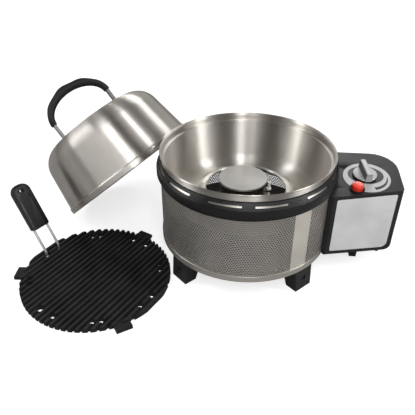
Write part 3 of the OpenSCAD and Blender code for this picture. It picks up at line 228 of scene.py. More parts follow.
def spun_steel(name, colour, rough, lines, stretch):
    """Steel brushed round its axis, with long highlights across the brushing."""
    finish = Finish(name, colour, rough, 1.0)
    finish.set("Anisotropic", stretch)
    finish.set("Anisotropic Rotation", 0.25)
    finish.feed(
        "Tangent",
        finish.node("ShaderNodeTangent", direction_type="UV_MAP", uv_map="around").outputs[0],
    )
    across = finish.node("ShaderNodeUVMap", uv_map="around").outputs[0]
    slow = finish.place((14, 14, 14))
    rows = finish.node("ShaderNodeVectorMath", {0: across, 1: (0, 2600, 0)}, operation="MULTIPLY").outputs[0]
    brushed = finish.noise(
        finish.node("ShaderNodeVectorMath", {0: rows, 1: slow}, operation="ADD").outputs[0], 1.0, 2.0
    )
    cloud = finish.noise(finish.place(), 16.0, 3.0)
    finish.tinted(cloud, 0.93, 1.04)
    finish.feed("Roughness", finish.between(brushed, rough * 0.8, rough * 1.2))
    finish.bump(brushed, lines, 0.05 * MM)
    return finish.material


def sheet_steel(name, colour, rough, along=(1, 1, 1), turn=(0, 0, 0), metal=1.0):
    """Rolled sheet with a faint grain and hand marks."""
    finish = Finish(name, colour, rough, metal)
    grain = finish.noise(finish.place(along, turn), 900.0, 2.0)
    cloud = finish.noise(finish.place(), 22.0, 4.0)
    finish.tinted(cloud, 0.88, 1.05)
    finish.feed("Roughness", finish.between(cloud, rough * 0.8, rough * 1.25))
    finish.bump(grain, 0.12, 0.05 * MM)
    return finish.material


def moulded(name, colour, rough, grain=0.0, scale=1400.0, coat=0.0):
    """Moulded plastic with a surface grain and faint dust and handling marks."""
    finish = Finish(name, colour, rough)
    finish.set("Specular IOR Level", 0.35)
    if coat:
        finish.set("Coat Weight", coat)
        finish.set("Coat Roughness", 0.08)
    cloud = finish.noise(finish.place(), 30.0, 4.0)
    fine = finish.noise(finish.place(), scale, 2.0)
    finish.tinted(cloud, 0.8, 1.35)
    finish.feed("Roughness", finish.between(cloud, rough * 0.85, rough * 1.15))
    if grain:
        finish.bump(fine, grain, 0.08 * MM)
    return finish.material


def plated(name, colour, rough, wear=1.0, metal=1.0):
    """Small drawn or turned metal with fine scratches."""
    finish = Finish(name, colour, rough, metal)
    marks = finish.noise(finish.place(), 260.0, 5.0, 0.6)
    finish.tinted(marks, 1 - 0.2 * wear, 1 + 0.1 * wear)
    finish.feed("Roughness", finish.between(marks, rough * (1 - 0.3 * wear), rough * (1 + 0.4 * wear)))
    finish.bump(marks, 0.06 * wear, 0.05 * MM)
    return finish.material


def scorched(name, colour, rough):
    """Burner metal, darkened and stained by heat."""
    finish = Finish(name, colour, rough, 0.8)
    stain = finish.noise(finish.place(), 45.0, 5.0, 0.6)
    finish.tinted(stain, (0.7, 0.66, 0.6), (1.5, 1.35, 1.2))
    finish.feed("Roughness", finish.between(stain, rough * 0.8, rough * 1.2))
    finish.bump(finish.noise(finish.place(), 500.0, 4.0), 0.25, 0.1 * MM)
    return finish.material


def coated(name, colour):
    """Cast plate under a pebbled non-stick coating, with a painted highlight on the tops of its ribs."""
    finish = Finish(name, colour, 0.5)
    finish.set("Specular IOR Level", 0.25)
    pebble = finish.noise(finish.place(), 700.0, 3.0, 0.55)
    cloud = finish.noise(finish.place(), 24.0, 4.0)
    height = finish.node("ShaderNodeSeparateXYZ", {0: finish.place()}).outputs[2]
    # Painted highlight: the base colour grows up to 1.6 times lighter on the rib tops, 7.5 to 9 mm high.
    rib_top_highlight = finish.between(height, 1.0, 1.6, (7.5 * MM, 9 * MM))
    tint = finish.node("ShaderNodeValToRGB", {0: cloud})
    for stop, share in zip(tint.color_ramp.elements, (0.8, 1.3)):
        stop.color = (*(c * share for c in colour), 1)
    tint.color_ramp.elements[0].position, tint.color_ramp.elements[1].position = 0.3, 0.7
    values = {0: tint.outputs[0], "Scale": rib_top_highlight}
    finish.feed("Base Color", finish.node("ShaderNodeVectorMath", values, operation="SCALE").outputs[0])
    finish.feed("Roughness", finish.between(cloud, 0.42, 0.58))
    finish.bump(pebble, 0.3, 0.12 * MM)
    return finish.material


def printed(name, colour, rough):
    """Flat printed ink."""
    finish = Finish(name, colour, rough)
    finish.tinted(finish.noise(finish.place(), 320.0, 3.0), 0.85, 1.2)
    finish.bump(finish.noise(finish.place(), 1800.0, 1.0), 0.05, 0.02 * MM)
    return finish.material


MADE = {}


def finish_of(name):
    """The material of that name, made the first time that it is asked for."""
    if name not in MADE:
        c = bpy.context.scene.grill_colours
        black = tuple(c.black)
        MADE[name] = {
            "bowl_steel": lambda: spun_steel("bowl_steel", tuple(c.steel), 0.42, 0.04, 1.0),
            "lid_steel": lambda: spun_steel("lid_steel", tuple(c.steel), 0.36, 0.04, 1.0),
            "cap_steel": lambda: spun_steel("cap_steel", (0.36, 0.35, 0.33), 0.5, 0.1, 0.3),
            "trim_steel": lambda: spun_steel("trim_steel", tuple(c.sheet), 0.42, 0.02, 0.6),
            "pan_steel": lambda: sheet_steel("pan_steel", (0.30, 0.29, 0.27), 0.45, metal=0.6),
            "mesh_steel": lambda: sheet_steel("mesh_steel", tuple(c.sheet), 0.34, metal=0.75),
            # Near-black copy of the shell steel: painted shade for the inside of the shell and the walls of
            # its holes.
            "mesh_painted_shade": lambda: sheet_steel("mesh_painted_shade", (0.05, 0.048, 0.045), 0.6, metal=0.5),
            "seam_steel": lambda: sheet_steel(
                "seam_steel", (0.82, 0.78, 0.71), 0.36, (6, 6, 0.15), metal=0.6
            ),
            "strap_steel": lambda: sheet_steel("strap_steel", (0.42, 0.41, 0.39), 0.36),
            "leg_steel": lambda: plated("leg_steel", (0.20, 0.20, 0.195), 0.42, 0.5, 0.8),
            "black_gloss": lambda: moulded("black_gloss", (0.008, 0.008, 0.009), 0.42, 0.04, 500.0),
            "black_satin": lambda: moulded("black_satin", black, 0.40, 0.22, 1300.0),
            "black_foot": lambda: moulded("black_foot", black, 0.46, 0.25, 1100.0),
            "black_grip": lambda: moulded("black_grip", (0.007, 0.007, 0.007), 0.55, 0.18, 900.0),
            "black_lifter": lambda: moulded("black_lifter", (0.006, 0.006, 0.006), 0.38, 0.1, 900.0),
            "plate_silver": lambda: sheet_steel(
                "plate_silver", tuple(c.silver), 0.45, (0.05, 8, 8), (0, 0, -FRONT_TURN), 0.2
            ),
            "dial_silver": lambda: sheet_steel("dial_silver", (0.56, 0.56, 0.57), 0.5, metal=0.35),
            "knob_silver": lambda: plated("knob_silver", (0.50, 0.50, 0.51), 0.42, 0.4, 0.5),
            # Dark copy of the knob's plating: painted shade for the large side faces of the bar.
            "knob_painted_shade": lambda: plated("knob_painted_shade", (0.11, 0.11, 0.115), 0.42, 0.4, 0.4),
            "dial_ink": lambda: printed("dial_ink", (0.012, 0.012, 0.013), 0.35),
            "button_red": lambda: moulded("button_red", tuple(c.red), 0.22, 0.03, 600.0, 0.3),
            "burner_dark": lambda: scorched("burner_dark", (0.055, 0.050, 0.045), 0.5),
            "brass": lambda: plated("brass", (0.70, 0.50, 0.22), 0.30),
            "ceramic": lambda: moulded("ceramic", (0.80, 0.77, 0.70), 0.25, 0.05, 700.0),
            "lead_black": lambda: moulded("lead_black", (0.02, 0.02, 0.02), 0.45, 0.1, 900.0),
            "screw_steel": lambda: plated("screw_steel", (0.38, 0.38, 0.37), 0.3),
            "wire_steel": lambda: plated("wire_steel", (0.60, 0.60, 0.60), 0.45, 0.2, 0.6),
            "can_paint": lambda: moulded("can_paint", (0.18, 0.25, 0.36), 0.25, 0.05, 700.0, 0.3),
            "griddle_black": lambda: coated("griddle_black", tuple(c.coating)),
        }[name]()
    return MADE[name]


def dress(node, finish):
    """Gives a solid that stays in view its material."""
    for held in frame["nodes"][node].material_slots:
        held.material = finish_of(finish)


def add_piece(work, name, finish, nodes, smooth=35):
    """Makes a piece of the mesh in hand; it moves with the body of the first of the nodes."""
    mesh = bpy.data.meshes.new(name)
    work.to_mesh(mesh)
    work.free()
    mesh.polygons.foreach_set("use_smooth", [True] * len(mesh.polygons))
    mesh.set_sharp_from_angle(angle=math.radians(smooth))
    piece = bpy.data.objects.new(name, mesh)
    bpy.context.collection.objects.link(piece)
    mesh.materials.append(finish_of(finish))
    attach(piece, BODY_OF[nodes[0]])
    return piece


def stands_for(piece, *nodes):
    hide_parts(*nodes)
    return piece


def rounded(piece, width, segments=2, angle=35):
    """Rounds the sharp edges of a piece."""
    bevel = piece.modifiers.new("rounded edges", "BEVEL")
    bevel.width = width
    bevel.segments = segments
    bevel.limit_method = "ANGLE"
    bevel.angle_limit = math.radians(angle)
    bevel.harden_normals = True
    bevel.miter_outer = "MITER_ARC"
    return piece


def merged(node):
    """A copy of a solid's mesh, its triangles joined to clean faces."""
    work = bmesh.new()
    work.from_mesh(frame["nodes"][node].data)
    bmesh.ops.remove_doubles(work, verts=work.verts, dist=0.002 * MM)
    bmesh.ops.dissolve_limit(
        work, angle_limit=math.radians(0.6), verts=work.verts[:], edges=work.edges[:], delimit=set()
    )
    return work


def softened(node, name, finish, width, segments=2, angle=35):
    """A piece like a solid, its sharp edges rounded."""
    piece = add_piece(merged(node), name, finish, [node], angle)
    return rounded(stands_for(piece, node), width, segments, angle)


def wire(work, points):
    """Closed profile in the XZ plane from (radius, height, rounding) in millimetres."""
    line = [work.verts.new((r * MM, 0, z * MM)) for r, z, _ in points]
    for a, b in zip(line, line[1:] + line[:1]):
        work.edges.new((a, b))
    for corner, (_, _, size) in zip(line, points):
        if size:
            bmesh.ops.bevel(
                work, geom=[corner], offset=size * MM, offset_type="OFFSET", segments=14 if size > 5 else 6,
                profile=0.5, affect="VERTICES", material=-1, clamp_overlap=False,
            )


def wrap(work, falling):
    """UV map with u round the axis and v along the profile."""
    layer = work.loops.layers.uv.new("around")
    for face in work.faces:
        middle = face.calc_center_median()
        base = math.atan2(middle.y, middle.x)
        for loop in face.loops:
            at = loop.vert.co
            ahead = math.atan2(at.y, at.x) - base if at.xy.length > 0.1 * MM else 0
            ahead = (ahead + math.pi) % TURN - math.pi
            reach = at.xy.length
            loop[layer].uv = ((base + ahead) / TURN, at.z - reach if falling else at.z + reach)


def lathe(points, steps, place=None, falling=False):
    """Profile turned about Z; falling suits one that goes down as it goes out."""
    work = bmesh.new()
    wire(work, points)
    bmesh.ops.spin(
        work, geom=work.verts[:] + work.edges[:], cent=(0, 0, 0), axis=(0, 0, 1), dvec=(0, 0, 0),
        angle=TURN, steps=steps, use_merge=True, use_normal_flip=False, use_duplicate=False,
    )
    bmesh.ops.remove_doubles(work, verts=work.verts, dist=0.001 * MM)
    bmesh.ops.dissolve_degenerate(work, edges=work.edges, dist=0.0005 * MM)
    bmesh.ops.recalc_face_normals(work, faces=work.faces)
    wrap(work, falling)
    if place:
        bmesh.ops.transform(work, matrix=place, verts=work.verts)
    return work


def sheet_outline(path, t):
    """Closed profile of a sheet: the path and its other side, t to the left, with matching rounding."""
    other = []
    for i, (r, z, size) in enumerate(path):
        a, b = path[max(i - 1, 0)], path[max(i - 1, 0) + 1]
        c, d = path[min(i, len(path) - 2)], path[min(i, len(path) - 2) + 1]
        u = Vector((a[1] - b[1], b[0] - a[0])).normalized()
        v = Vector((c[1] - d[1], d[0] - c[0])).normalized()
        step = t * (u + v) / (1 + u.dot(v))
        bend = u.x * v.y - u.y * v.x
        grown = size - math.copysign(abs(t), bend * t) * 0.9 if size else 0
        other.append((r + step.x, z + step.y, max(grown, 0.1 * size)))
    return path + other[::-1]


def swept(rings, sides):
    """Tube through a row of matrices, each placing a unit circle, closed at both ends."""
    work = bmesh.new()
    loop = bmesh.ops.create_circle(work, segments=sides, radius=1, cap_ends=True, matrix=rings[0])["verts"]
    edges = list({e for v in loop for e in v.link_edges})
    for before, after in zip(rings, rings[1:]):
        grown = bmesh.ops.extrude_edge_only(work, edges=edges)["geom"]
        loop = [g for g in grown if isinstance(g, bmesh.types.BMVert)]
        edges = [
            g for g in grown
            if isinstance(g, bmesh.types.BMEdge) and g.verts[0] in loop and g.verts[1] in loop
        ]
        bmesh.ops.transform(work, matrix=after @ before.inverted(), verts=loop)
    bmesh.ops.contextual_create(work, geom=edges)
    bmesh.ops.recalc_face_normals(work, faces=work.faces)
    return work


def joined(works):
    """Several meshes in hand as one."""
    whole = bmesh.new()
    for work in works:
        mesh = bpy.data.meshes.new("part")
        work.to_mesh(mesh)
        work.free()
        whole.from_mesh(mesh)
        bpy.data.meshes.remove(mesh)
    return whole


def tube(points, radius, sides):
    """Round bar along points in metres, its ends domed."""
    headings = [
        (points[min(i + 1, len(points) - 1)] - points[max(i - 1, 0)]).normalized()
        for i in range(len(points))
    ]
    side = headings[0].orthogonal().normalized()
    rings = []
    for point, heading in zip(points, headings):
        side = (side - side.dot(heading) * heading).normalized()
        other = heading.cross(side)
        rings.append(
            Matrix.Translation(point) @ Matrix((side, other, heading)).transposed().to_4x4()
        )
    dome = [math.radians(a) for a in (80, 50, 20)]
    start = [rings[0] @ Matrix.Translation((0, 0, radius * (1 - math.sin(a)))) for a in dome]
    last = [rings[-1] @ Matrix.Translation((0, 0, radius * (math.sin(a) - 1))) for a in reversed(dome)]
    widths = [radius * math.cos(a) for a in dome]
    stations = list(zip(start, widths)) + [(r, radius) for r in rings[1:-1]]
    stations += list(zip(last, reversed(widths)))
    return swept([m @ Matrix.Diagonal((w, w, 1, 1)) for m, w in stations], sides)


def bent(points, r, steps=6):
    """A route with its inner corners rounded."""
    route = [points[0]]
    for a, b, c in zip(points, points[1:], points[2:]):
        u, v = (a - b).normalized(), (c - b).normalized()
        half = u.angle(v) / 2
        middle = b + (u + v).normalized() * r / math.sin(half)
        start, end = b + u * r / math.tan(half) - middle, b + v * r / math.tan(half) - middle
        start, end = start.normalized(), end.normalized()
        route += [middle + start.slerp(end, k / steps) * r for k in range(steps + 1)]
    return route + [points[-1]]


def cut_away(context, piece, cutters, smooth=30):
    """Cuts the meshes in hand out of a piece."""
    mesh = bpy.data.meshes.new("cutter")
    joined(cutters).to_mesh(mesh)
    tool = bpy.data.objects.new("cutter", mesh)
    context.collection.objects.link(tool)
    cut = piece.modifiers.new("cut", "BOOLEAN")
    cut.object = tool
    cut.operation = "DIFFERENCE"
    cut.solver = "EXACT"
    piece.data = bpy.data.meshes.new_from_object(piece.evaluated_get(context.evaluated_depsgraph_get()))
    piece.modifiers.clear()
    piece.data.set_sharp_from_angle(angle=math.radians(smooth))
    bpy.data.objects.remove(tool)
    return piece


def steps_of(context):
    return context.scene.grill_sizes.spin_steps


class GRILL_OT_shell(Operator):
    """Perforated shell of the body, in two halves, with its seam strip"""

    bl_idname = "grill.shell"
    bl_label = "Perforated shell"

    def execute(self, context):
        sizes = context.scene.grill_sizes
        radius = (SHELL_R - 0.1) * MM
        columns = 2 * round(math.pi * radius / sizes.hole_pitch)
        pitch = TURN * radius / columns
        rise = pitch * math.sqrt(3) / 2
        rows = int((SHELL_TOP - SHELL_LOW) * MM / rise)
        low = (SHELL_LOW + SHELL_TOP) / 2 * MM - (rows - 1) * rise / 2
        for name, start in (("perforated_front", math.pi), ("perforated_back", 0.0)):
            work = bmesh.new()
            for row in range(rows):
                angle = start + (row % 2) * pitch / radius / 2
                place = Matrix.Rotation(angle, 4, "Z") @ Matrix.Translation((radius, 0, low + row * rise))
                stand = Matrix(((0, 0, 1, 0), (1, 0, 0, 0), (0, 1, 0, 0), (0, 0, 0, 1)))
                bmesh.ops.create_circle(
                    work, segments=6, radius=pitch / math.sqrt(3), cap_ends=True, matrix=place @ stand
                )
            bmesh.ops.spin(
                work, geom=work.verts[:] + work.edges[:] + work.faces[:], cent=(0, 0, 0), axis=(0, 0, 1),
                dvec=(0, 0, 0), angle=math.pi - TURN / columns, steps=columns // 2 - 1,
                use_merge=False, use_normal_flip=False, use_duplicate=True,
            )
            bmesh.ops.remove_doubles(work, verts=work.verts, dist=0.06 * MM)
            cells = [f for f in work.faces if len(f.verts) == 6]
            bmesh.ops.inset_individual(
                work, faces=cells, thickness=sizes.hole_bar / 2, depth=0, use_even_offset=True
            )
            bmesh.ops.delete(work, geom=cells, context="FACES")
            piece = add_piece(work, name, "mesh_steel", ["mesh_shell"])
            wall = piece.modifiers.new("sheet", "SOLIDIFY")
            wall.thickness = 1.0 * MM
            wall.offset = 0.0
            # The inner face and the hole walls take the near-black steel: painted shade inside the shell and
            # in its holes.
            wall.material_offset = wall.material_offset_rim = 1
            piece.data.materials.append(finish_of("mesh_painted_shade"))
            stands_for(piece, "mesh_shell")
        softened("shell_seam", "seam_strip", "seam_steel", 0.3 * MM)
        return {"FINISHED"}


class GRILL_OT_foot_ring(Operator):
    """Trim ring and base pan under the shell"""

    bl_idname = "grill.foot_ring"
    bl_label = "Trim ring and pan"

    def execute(self, context):
        steps = steps_of(context)
        trim = [
            (155.15, 43, 0.3), (157.15, 43, 0.65), (157.15, 55, 0.65), (155.15, 55, 0.3),
        ]
        hoop = add_piece(lathe(trim, steps), "trim_hoop", "trim_steel", ["trim_ring"])
        notch = bmesh.new()
        bmesh.ops.create_cone(
            notch, cap_ends=True, segments=32, radius1=3.9 * MM, radius2=3.9 * MM, depth=120 * MM,
            matrix=moved(BURNER_X, 0, TUBE_Z) @ turned("Y", TUBE_HEADING) @ moved(0, 0, 175),
        )
        stands_for(cut_away(context, hoop, [notch]), "trim_ring")
        pan = [(0, 46, 0), (72, 46, 4), (78, 43, 4), (153.65, 43, 3), (153.65, 58, 0)]
        work = lathe(sheet_outline(pan, 1.5), steps)
        stands_for(add_piece(work, "floor_pan", "pan_steel", ["base_pan"]), "base_pan")
        return {"FINISHED"}


class GRILL_OT_feet(Operator):
    """Four moulded feet with their screws"""

    bl_idname = "grill.feet"
    bl_label = "Feet"

    def execute(self, context):
        edge = context.scene.grill_sizes.edge
        for place in ("front_left", "front_right", "rear_left", "rear_right"):
            softened("foot_" + place, "moulded_foot_" + place, "black_foot", edge, 3)
        dress("foot_screws", "screw_steel")
        return {"FINISHED"}


class GRILL_OT_top_ring(Operator):
    """Moulded ring on the shell, with its slots and dots"""

    bl_idname = "grill.top_ring"
    bl_label = "Slotted ring"

    def execute(self, context):
        outline = [
            (162, 178, 1.0), (162, 189.8, 0.5), (161, 189.8, 0.15), (161, 191, 0.15), (161.6, 191, 0.5),
            (154.6, 200.4, 1.2), (153, 202, 0.8), (148.8, 202, 0.8), (148.8, 198, 0.5), (151.8, 198, 0.4),
            (151.8, 199, 0), (158.6, 191, 0), (158, 188, 0), (158, 186, 0), (152.3, 186, 0.3),
            (152.3, 183.5, 0.3), (158.6, 183.5, 0), (158.8, 179.5, 0), (156.1, 179.5, 0.2),
            (156.1, 170, 0.3), (157.6, 170, 0.5), (157.6, 178, 0.4),
        ]
        ring = add_piece(lathe(outline, steps_of(context)), "slotted_ring", "black_gloss", ["top_ring"], 30)
        cutters = []
        band_in, band_up, share = 7.0, 9.4, 0.6
        groups, first_slot, next_slot, dot_step, sweep = 6, -101, 27.5, 43.75, 20
        lean = Matrix.Rotation(-math.atan2(band_in, band_up), 4, "Y")
        at = moved(161.6 - band_in * share, 0, 191 + band_up * share) @ lean
        for group in range(groups):
            first = first_slot + 360 // groups * group
            for middle in (first, first + next_slot):
                slot = bmesh.new()
                bmesh.ops.create_grid(
                    slot, x_segments=1, y_segments=1, size=0.5,
                    matrix=turned("Z", middle - sweep / 2) @ at @ Matrix.Diagonal((9 * MM, 1, 3.3 * MM, 1))
                    @ turned("X", 90),
                )
                bmesh.ops.spin(
                    slot, geom=slot.verts[:] + slot.edges[:] + slot.faces[:], cent=(0, 0, 0), axis=(0, 0, 1),
                    dvec=(0, 0, 0), angle=math.radians(sweep), steps=10, use_merge=False,
                    use_normal_flip=False, use_duplicate=False,
                )
                bmesh.ops.recalc_face_normals(slot, faces=slot.faces)
                cutters.append(slot)
            dot = bmesh.new()
            bmesh.ops.create_cone(
                dot, cap_ends=True, segments=16, radius1=1.8 * MM, radius2=1.8 * MM, depth=9 * MM,
                matrix=turned("Z", first + dot_step) @ at @ turned("Y", 90),
            )
            cutters.append(dot)
        stands_for(cut_away(context, ring, cutters), "top_ring")
        lining = [(158.0, 191.6, 0), (153.2, 198.0, 0), (152.6, 197.6, 0), (157.4, 191.2, 0)]
        add_piece(lathe(lining, steps_of(context)), "slot_lining", "trim_steel", ["trim_ring"])
        return {"FINISHED"}


class GRILL_OT_bowl(Operator):
    """Lift-out steel bowl with a moat round its opening"""

    bl_idname = "grill.bowl"
    bl_label = "Bowl"

    def execute(self, context):
        steps = steps_of(context)
        rise = [
            (74.5, BOWL_FLOOR, 0), (83, BOWL_FLOOR, 6), (95, MOAT_FLOOR, 9), (MOAT_MIDDLE, MOAT_FLOOR, 0),
        ]
        wall = [
            (MOAT_MIDDLE, MOAT_FLOOR, 0), (134.3, MOAT_FLOOR, 20), (146.6, 203.4, 1.6), (151.6, 203.4, 1.6),
            (151.6, 214.4, 2.0), (155.0, 217.2, 0),
        ]
        inner = lathe(sheet_outline(rise, -BOWL_T), steps, falling=True)
        outer = lathe(sheet_outline(wall, -BOWL_T), steps)
        bead = lathe(
            [(75 + 1.7 * math.cos(a), 137.4 + 1.7 * math.sin(a), 0)
             for a in (TURN * k / 12 for k in range(12))], steps,
        )
        piece = add_piece(joined([inner, outer, bead]), "steel_bowl", "bowl_steel", ["bowl"], 50)
        stands_for(piece, "bowl")
        return {"FINISHED"}


class GRILL_OT_burner(Operator):
    """Burner with its cap, straps, tube and electrode"""

    bl_idname = "grill.burner"
    bl_label = "Burner"

    def execute(self, context):
        steps = steps_of(context)
        cap = [(0, 154, 0), (42, 154, 0.3), (42, 153, 0.2), (45, 153, 0.5), (45, 157, 1.2), (0, 157, 0)]
        work = lathe(cap, steps, place=moved(BURNER_X, 0, 0))
        stands_for(add_piece(work, "flame_cap", "cap_steel", ["burner_cap"]), "burner_cap")
        for node, finish in (
            ("burner_drum", "burner_dark"), ("burner_bracket", "strap_steel"),
            ("bracket_rivet", "screw_steel"), ("mixing_tube", "strap_steel"), ("gas_jet", "brass"),
            ("gas_pipe", "brass"), ("electrode_ceramic", "ceramic"), ("electrode_wire", "wire_steel"),
            ("igniter_lead", "lead_black"),
        ):
            dress(node, finish)
        return {"FINISHED"}


class GRILL_OT_gas_box(Operator):
    """Gas box with its base, door, plate and cartridge"""

    bl_idname = "grill.gas_box"
    bl_label = "Gas box"

    def execute(self, context):
        edge = context.scene.grill_sizes.edge
        softened("box_housing", "moulded_housing", "black_satin", 0.8 * edge, 3, 40)
        softened("box_base", "moulded_base", "black_satin", 0.5 * edge, 2, 40)
        softened("cartridge_door", "moulded_door", "black_satin", 0.5 * edge, 2, 40)
        softened("label_plate", "front_plate", "plate_silver", 0.2 * MM, 2, 40)
        for node, finish in (
            ("box_screws", "screw_steel"), ("door_hinge_pin", "wire_steel"), ("gas_cartridge", "can_paint"),
            ("valve_body", "brass"), ("valve_spindle", "brass"), ("piezo_igniter", "black_grip"),
        ):
            dress(node, finish)
        return {"FINISHED"}


class GRILL_OT_controls(Operator):
    """Dial, knob and igniter button"""

    bl_idname = "grill.controls"
    bl_label = "Controls"

    def execute(self, context):
        softened("dial_plate", "dial_disc", "dial_silver", 0.25 * MM, 2, 40)
        self.knob()
        self.print_dial()
        softened("button_collar", "collar", "black_grip", 0.5 * MM, 3, 40)
        softened("igniter_button", "push_button", "button_red", 0.9 * MM, 3, 40)
        return {"FINISHED"}

    def knob(self):
        """Bar knob with a black edge round its skirt and painted shade on the large side faces of its bar.
        """
        piece = softened("control_knob", "bar_knob", "knob_silver", 0.6 * MM, 3, 40)
        piece.data.materials.append(finish_of("dial_ink"))
        piece.data.materials.append(finish_of("knob_painted_shade"))
        large = 200 * MM * MM
        up = on_panel(*KNOB_AT).to_3x3() @ Vector((0, 0, 1))
        base = on_panel(*KNOB_AT).translation
        for face in piece.data.polygons:
            if abs(face.normal.dot(up)) < 0.5:
                low = (face.center - base).dot(up) < SKIRT_H * MM
                # Low side faces take the black ink; large side faces of the bar take the dark plating copy,
                # painted shade.
                face.material_index = 1 if low else 2 if face.area > large else 0

    def print_dial(self):
        """Plain dark field round the knob and a plain tapered arc, printed on the dial."""
        field = bmesh.new()
        bmesh.ops.create_circle(
            field, segments=96, radius=1, cap_ends=True,
            matrix=on_panel(*KNOB_AT) @ moved(2, 1.6, PRINT_Z) @ Matrix.Diagonal((31 * MM, 25 * MM, 1, 1)),
        )
        arc = bmesh.new()
        start, sweep, radius, thin, taper, steps = -72, 76, 36, 1.2, 6.0, 32
        outer, inner = [], []
        for k in range(steps + 1):
            a = math.radians(start + sweep * k / steps)
            thick = thin + taper * (1 - k / steps)
            spin = Vector((math.cos(a), math.sin(a), 0))
            outer.append(spin * radius * MM)
            inner.append(spin * (radius - thick) * MM)
        place = on_panel(*KNOB_AT) @ moved(3, -5, PRINT_Z)
        arc.faces.new([arc.verts.new(place @ p) for p in outer + inner[::-1]])
        add_piece(joined([field, arc]), "dial_print", "dial_ink", ["dial_plate"])


class GRILL_OT_lid(Operator):
    """Domed lid with its arched handle"""

    bl_idname = "grill.lid"
    bl_label = "Lid"

    def execute(self, context):
        steps = steps_of(context)
        draft = math.radians(LID_DRAFT)
        crown, wall_r, wall_foot, arc_steps = 1.5, 144.6, 12.4, 16
        wall_top = LID_H - crown - LID_TURN_R * (1 - math.sin(draft))
        turn_r = wall_r - (wall_top - wall_foot) * math.tan(draft)
        shoulder = []
        for k in range(arc_steps + 1):
            a = draft + (math.pi / 2 - draft) * k / arc_steps
            shoulder.append((
                turn_r - LID_TURN_R * (math.cos(draft) - math.cos(a)),
                wall_top + LID_TURN_R * (math.sin(a) - math.sin(draft)), 0,
            ))
        path = [
            (147, 0, 0), (147, 10, 0.8), (wall_r, wall_foot, 0.8), *shoulder, (70.5, LID_H, 2.0),
            (0, LID_H, 0),
        ]
        work = lathe(sheet_outline(path, LID_T), steps, place=ON_LID, falling=True)
        stands_for(add_piece(work, "steel_lid", "lid_steel", ["lid_shell"], 50), "lid_shell")
        self.legs()
        softened("lid_handle_screws", "handle_screws", "screw_steel", 0.5 * MM, 2, 40)
        self.grip()
        return {"FINISHED"}

    def legs(self):
        """Strap legs of the handle, thicker above their feet."""
        work = merged("lid_handle_legs")
        home = ON_HANDLE.inverted()
        above_foot = (LID_H + 4) * MM
        for side in (-1, 1):
            upper = [
                v for v in work.verts if (home @ v.co).z > above_foot and side * (home @ v.co).y > 0
            ]
            bmesh.ops.scale(
                work, vec=(1, 2, 1), space=moved(0, -side * HANDLE_HALF, 0) @ home, verts=upper
            )
        piece = add_piece(work, "handle_legs", "leg_steel", ["lid_handle_legs"], 40)
        rounded(stands_for(piece, "lid_handle_legs"), 0.5 * MM, 2, 40)

    def grip(self):
        """Arched grip with finger ripples on its inner side."""
        grip_t, grip_half_w, most_swell, most_ripple, ripples, stations = 13, 10, 5, 1.1, 9, 72
        rings = []
        for i in range(stations + 1):
            a = math.pi * i / stations
            heading = Vector((0, -HANDLE_HALF * math.sin(a), HANDLE_RISE * math.cos(a))).normalized()
            out = heading.cross(Vector((-1, 0, 0)))
            swell = most_swell * math.sin(a) ** 2
            ripple = most_ripple * math.sin(a) ** 2 * math.cos(ripples * a)
            thick = (grip_t + swell + ripple) / 2
            arch = Vector((0, HANDLE_HALF * math.cos(a), HANDLE_RISE * math.sin(a)))
            middle = arch - out * (swell + ripple) / 2
            ends = min(1.0, 0.9 + 0.1 * min(i, stations - i))
            ring = Matrix((out, Vector((-1, 0, 0)), heading)).transposed().to_4x4()
            at = moved(*(middle + Vector((0, 0, LID_H + HANDLE_LEG))))
            wide = Matrix.Diagonal((thick * ends * MM, grip_half_w * ends * MM, 1, 1))
            rings.append(ON_HANDLE @ at @ ring @ wide)
        stands_for(
            add_piece(swept(rings, 24), "arched_grip", "black_grip", ["lid_handle_grip"]), "lid_handle_grip"
        )


class GRILL_OT_griddle(Operator):
    """Ribbed griddle with its lifter"""

    bl_idname = "grill.griddle"
    bl_label = "Griddle and lifter"

    def execute(self, context):
        softened("griddle_plate", "ribbed_griddle", "griddle_black", 0.45 * MM, 2, 30)
        grip = softened("lifter_grip", "lifter_handle", "black_lifter", 1.2 * MM, 3, 40)
        rounded(cut_away(context, grip, [self.inset(-1), self.inset(1)], 40), 0.5 * MM, 2, 50)
        self.wires()
        return {"FINISHED"}

    def inset(self, side):
        """Block that sinks a field into one face of the lifter's grip, its upper end round."""
        work = bmesh.new()
        half_w, low, bend_z, bed, deep, arc_steps = 11.5, 50, 107, 4.9, 4, 16
        arc = [TURN / 2 * k / arc_steps for k in range(arc_steps + 1)]
        outline = [(-half_w, low), (half_w, low)]
        outline += [(half_w * math.cos(a), bend_z + half_w * math.sin(a)) for a in arc]
        face = work.faces.new([work.verts.new((side * bed * MM, y * MM, z * MM)) for y, z in outline])
        grown = bmesh.ops.extrude_face_region(work, geom=[face])["geom"]
        bmesh.ops.translate(
            work, vec=(side * deep * MM, 0, 0), verts=[v for v in grown if isinstance(v, bmesh.types.BMVert)]
        )
        bmesh.ops.recalc_face_normals(work, faces=work.faces)
        place = ON_LIFTER @ moved(HOOK_AT, 0, ELBOW_Z) @ turned("Y", 90 - LIFTER_SLOPE)
        bmesh.ops.transform(work, matrix=place, verts=work.verts)
        return work

    def wires(self):
        """Two plated wires that hook into the drain holes."""
        slope = math.radians(LIFTER_SLOPE)
        wire_r, reach, bend_r = 2.4, 66, 6
        bars = []
        for side in (-15, 15):
            run = [
                Vector((HOOK_AT, side, 1)), Vector((HOOK_AT, side, ELBOW_Z)),
                Vector((HOOK_AT + reach * math.cos(slope), side, ELBOW_Z + reach * math.sin(slope))),
            ]
            bars.append(tube([ON_LIFTER @ (p * MM) for p in bent(run, bend_r)], wire_r * MM, 16))
        stands_for(
            add_piece(joined(bars), "plated_wires", "wire_steel", ["lifter_wires"]), "lifter_wires"
        )


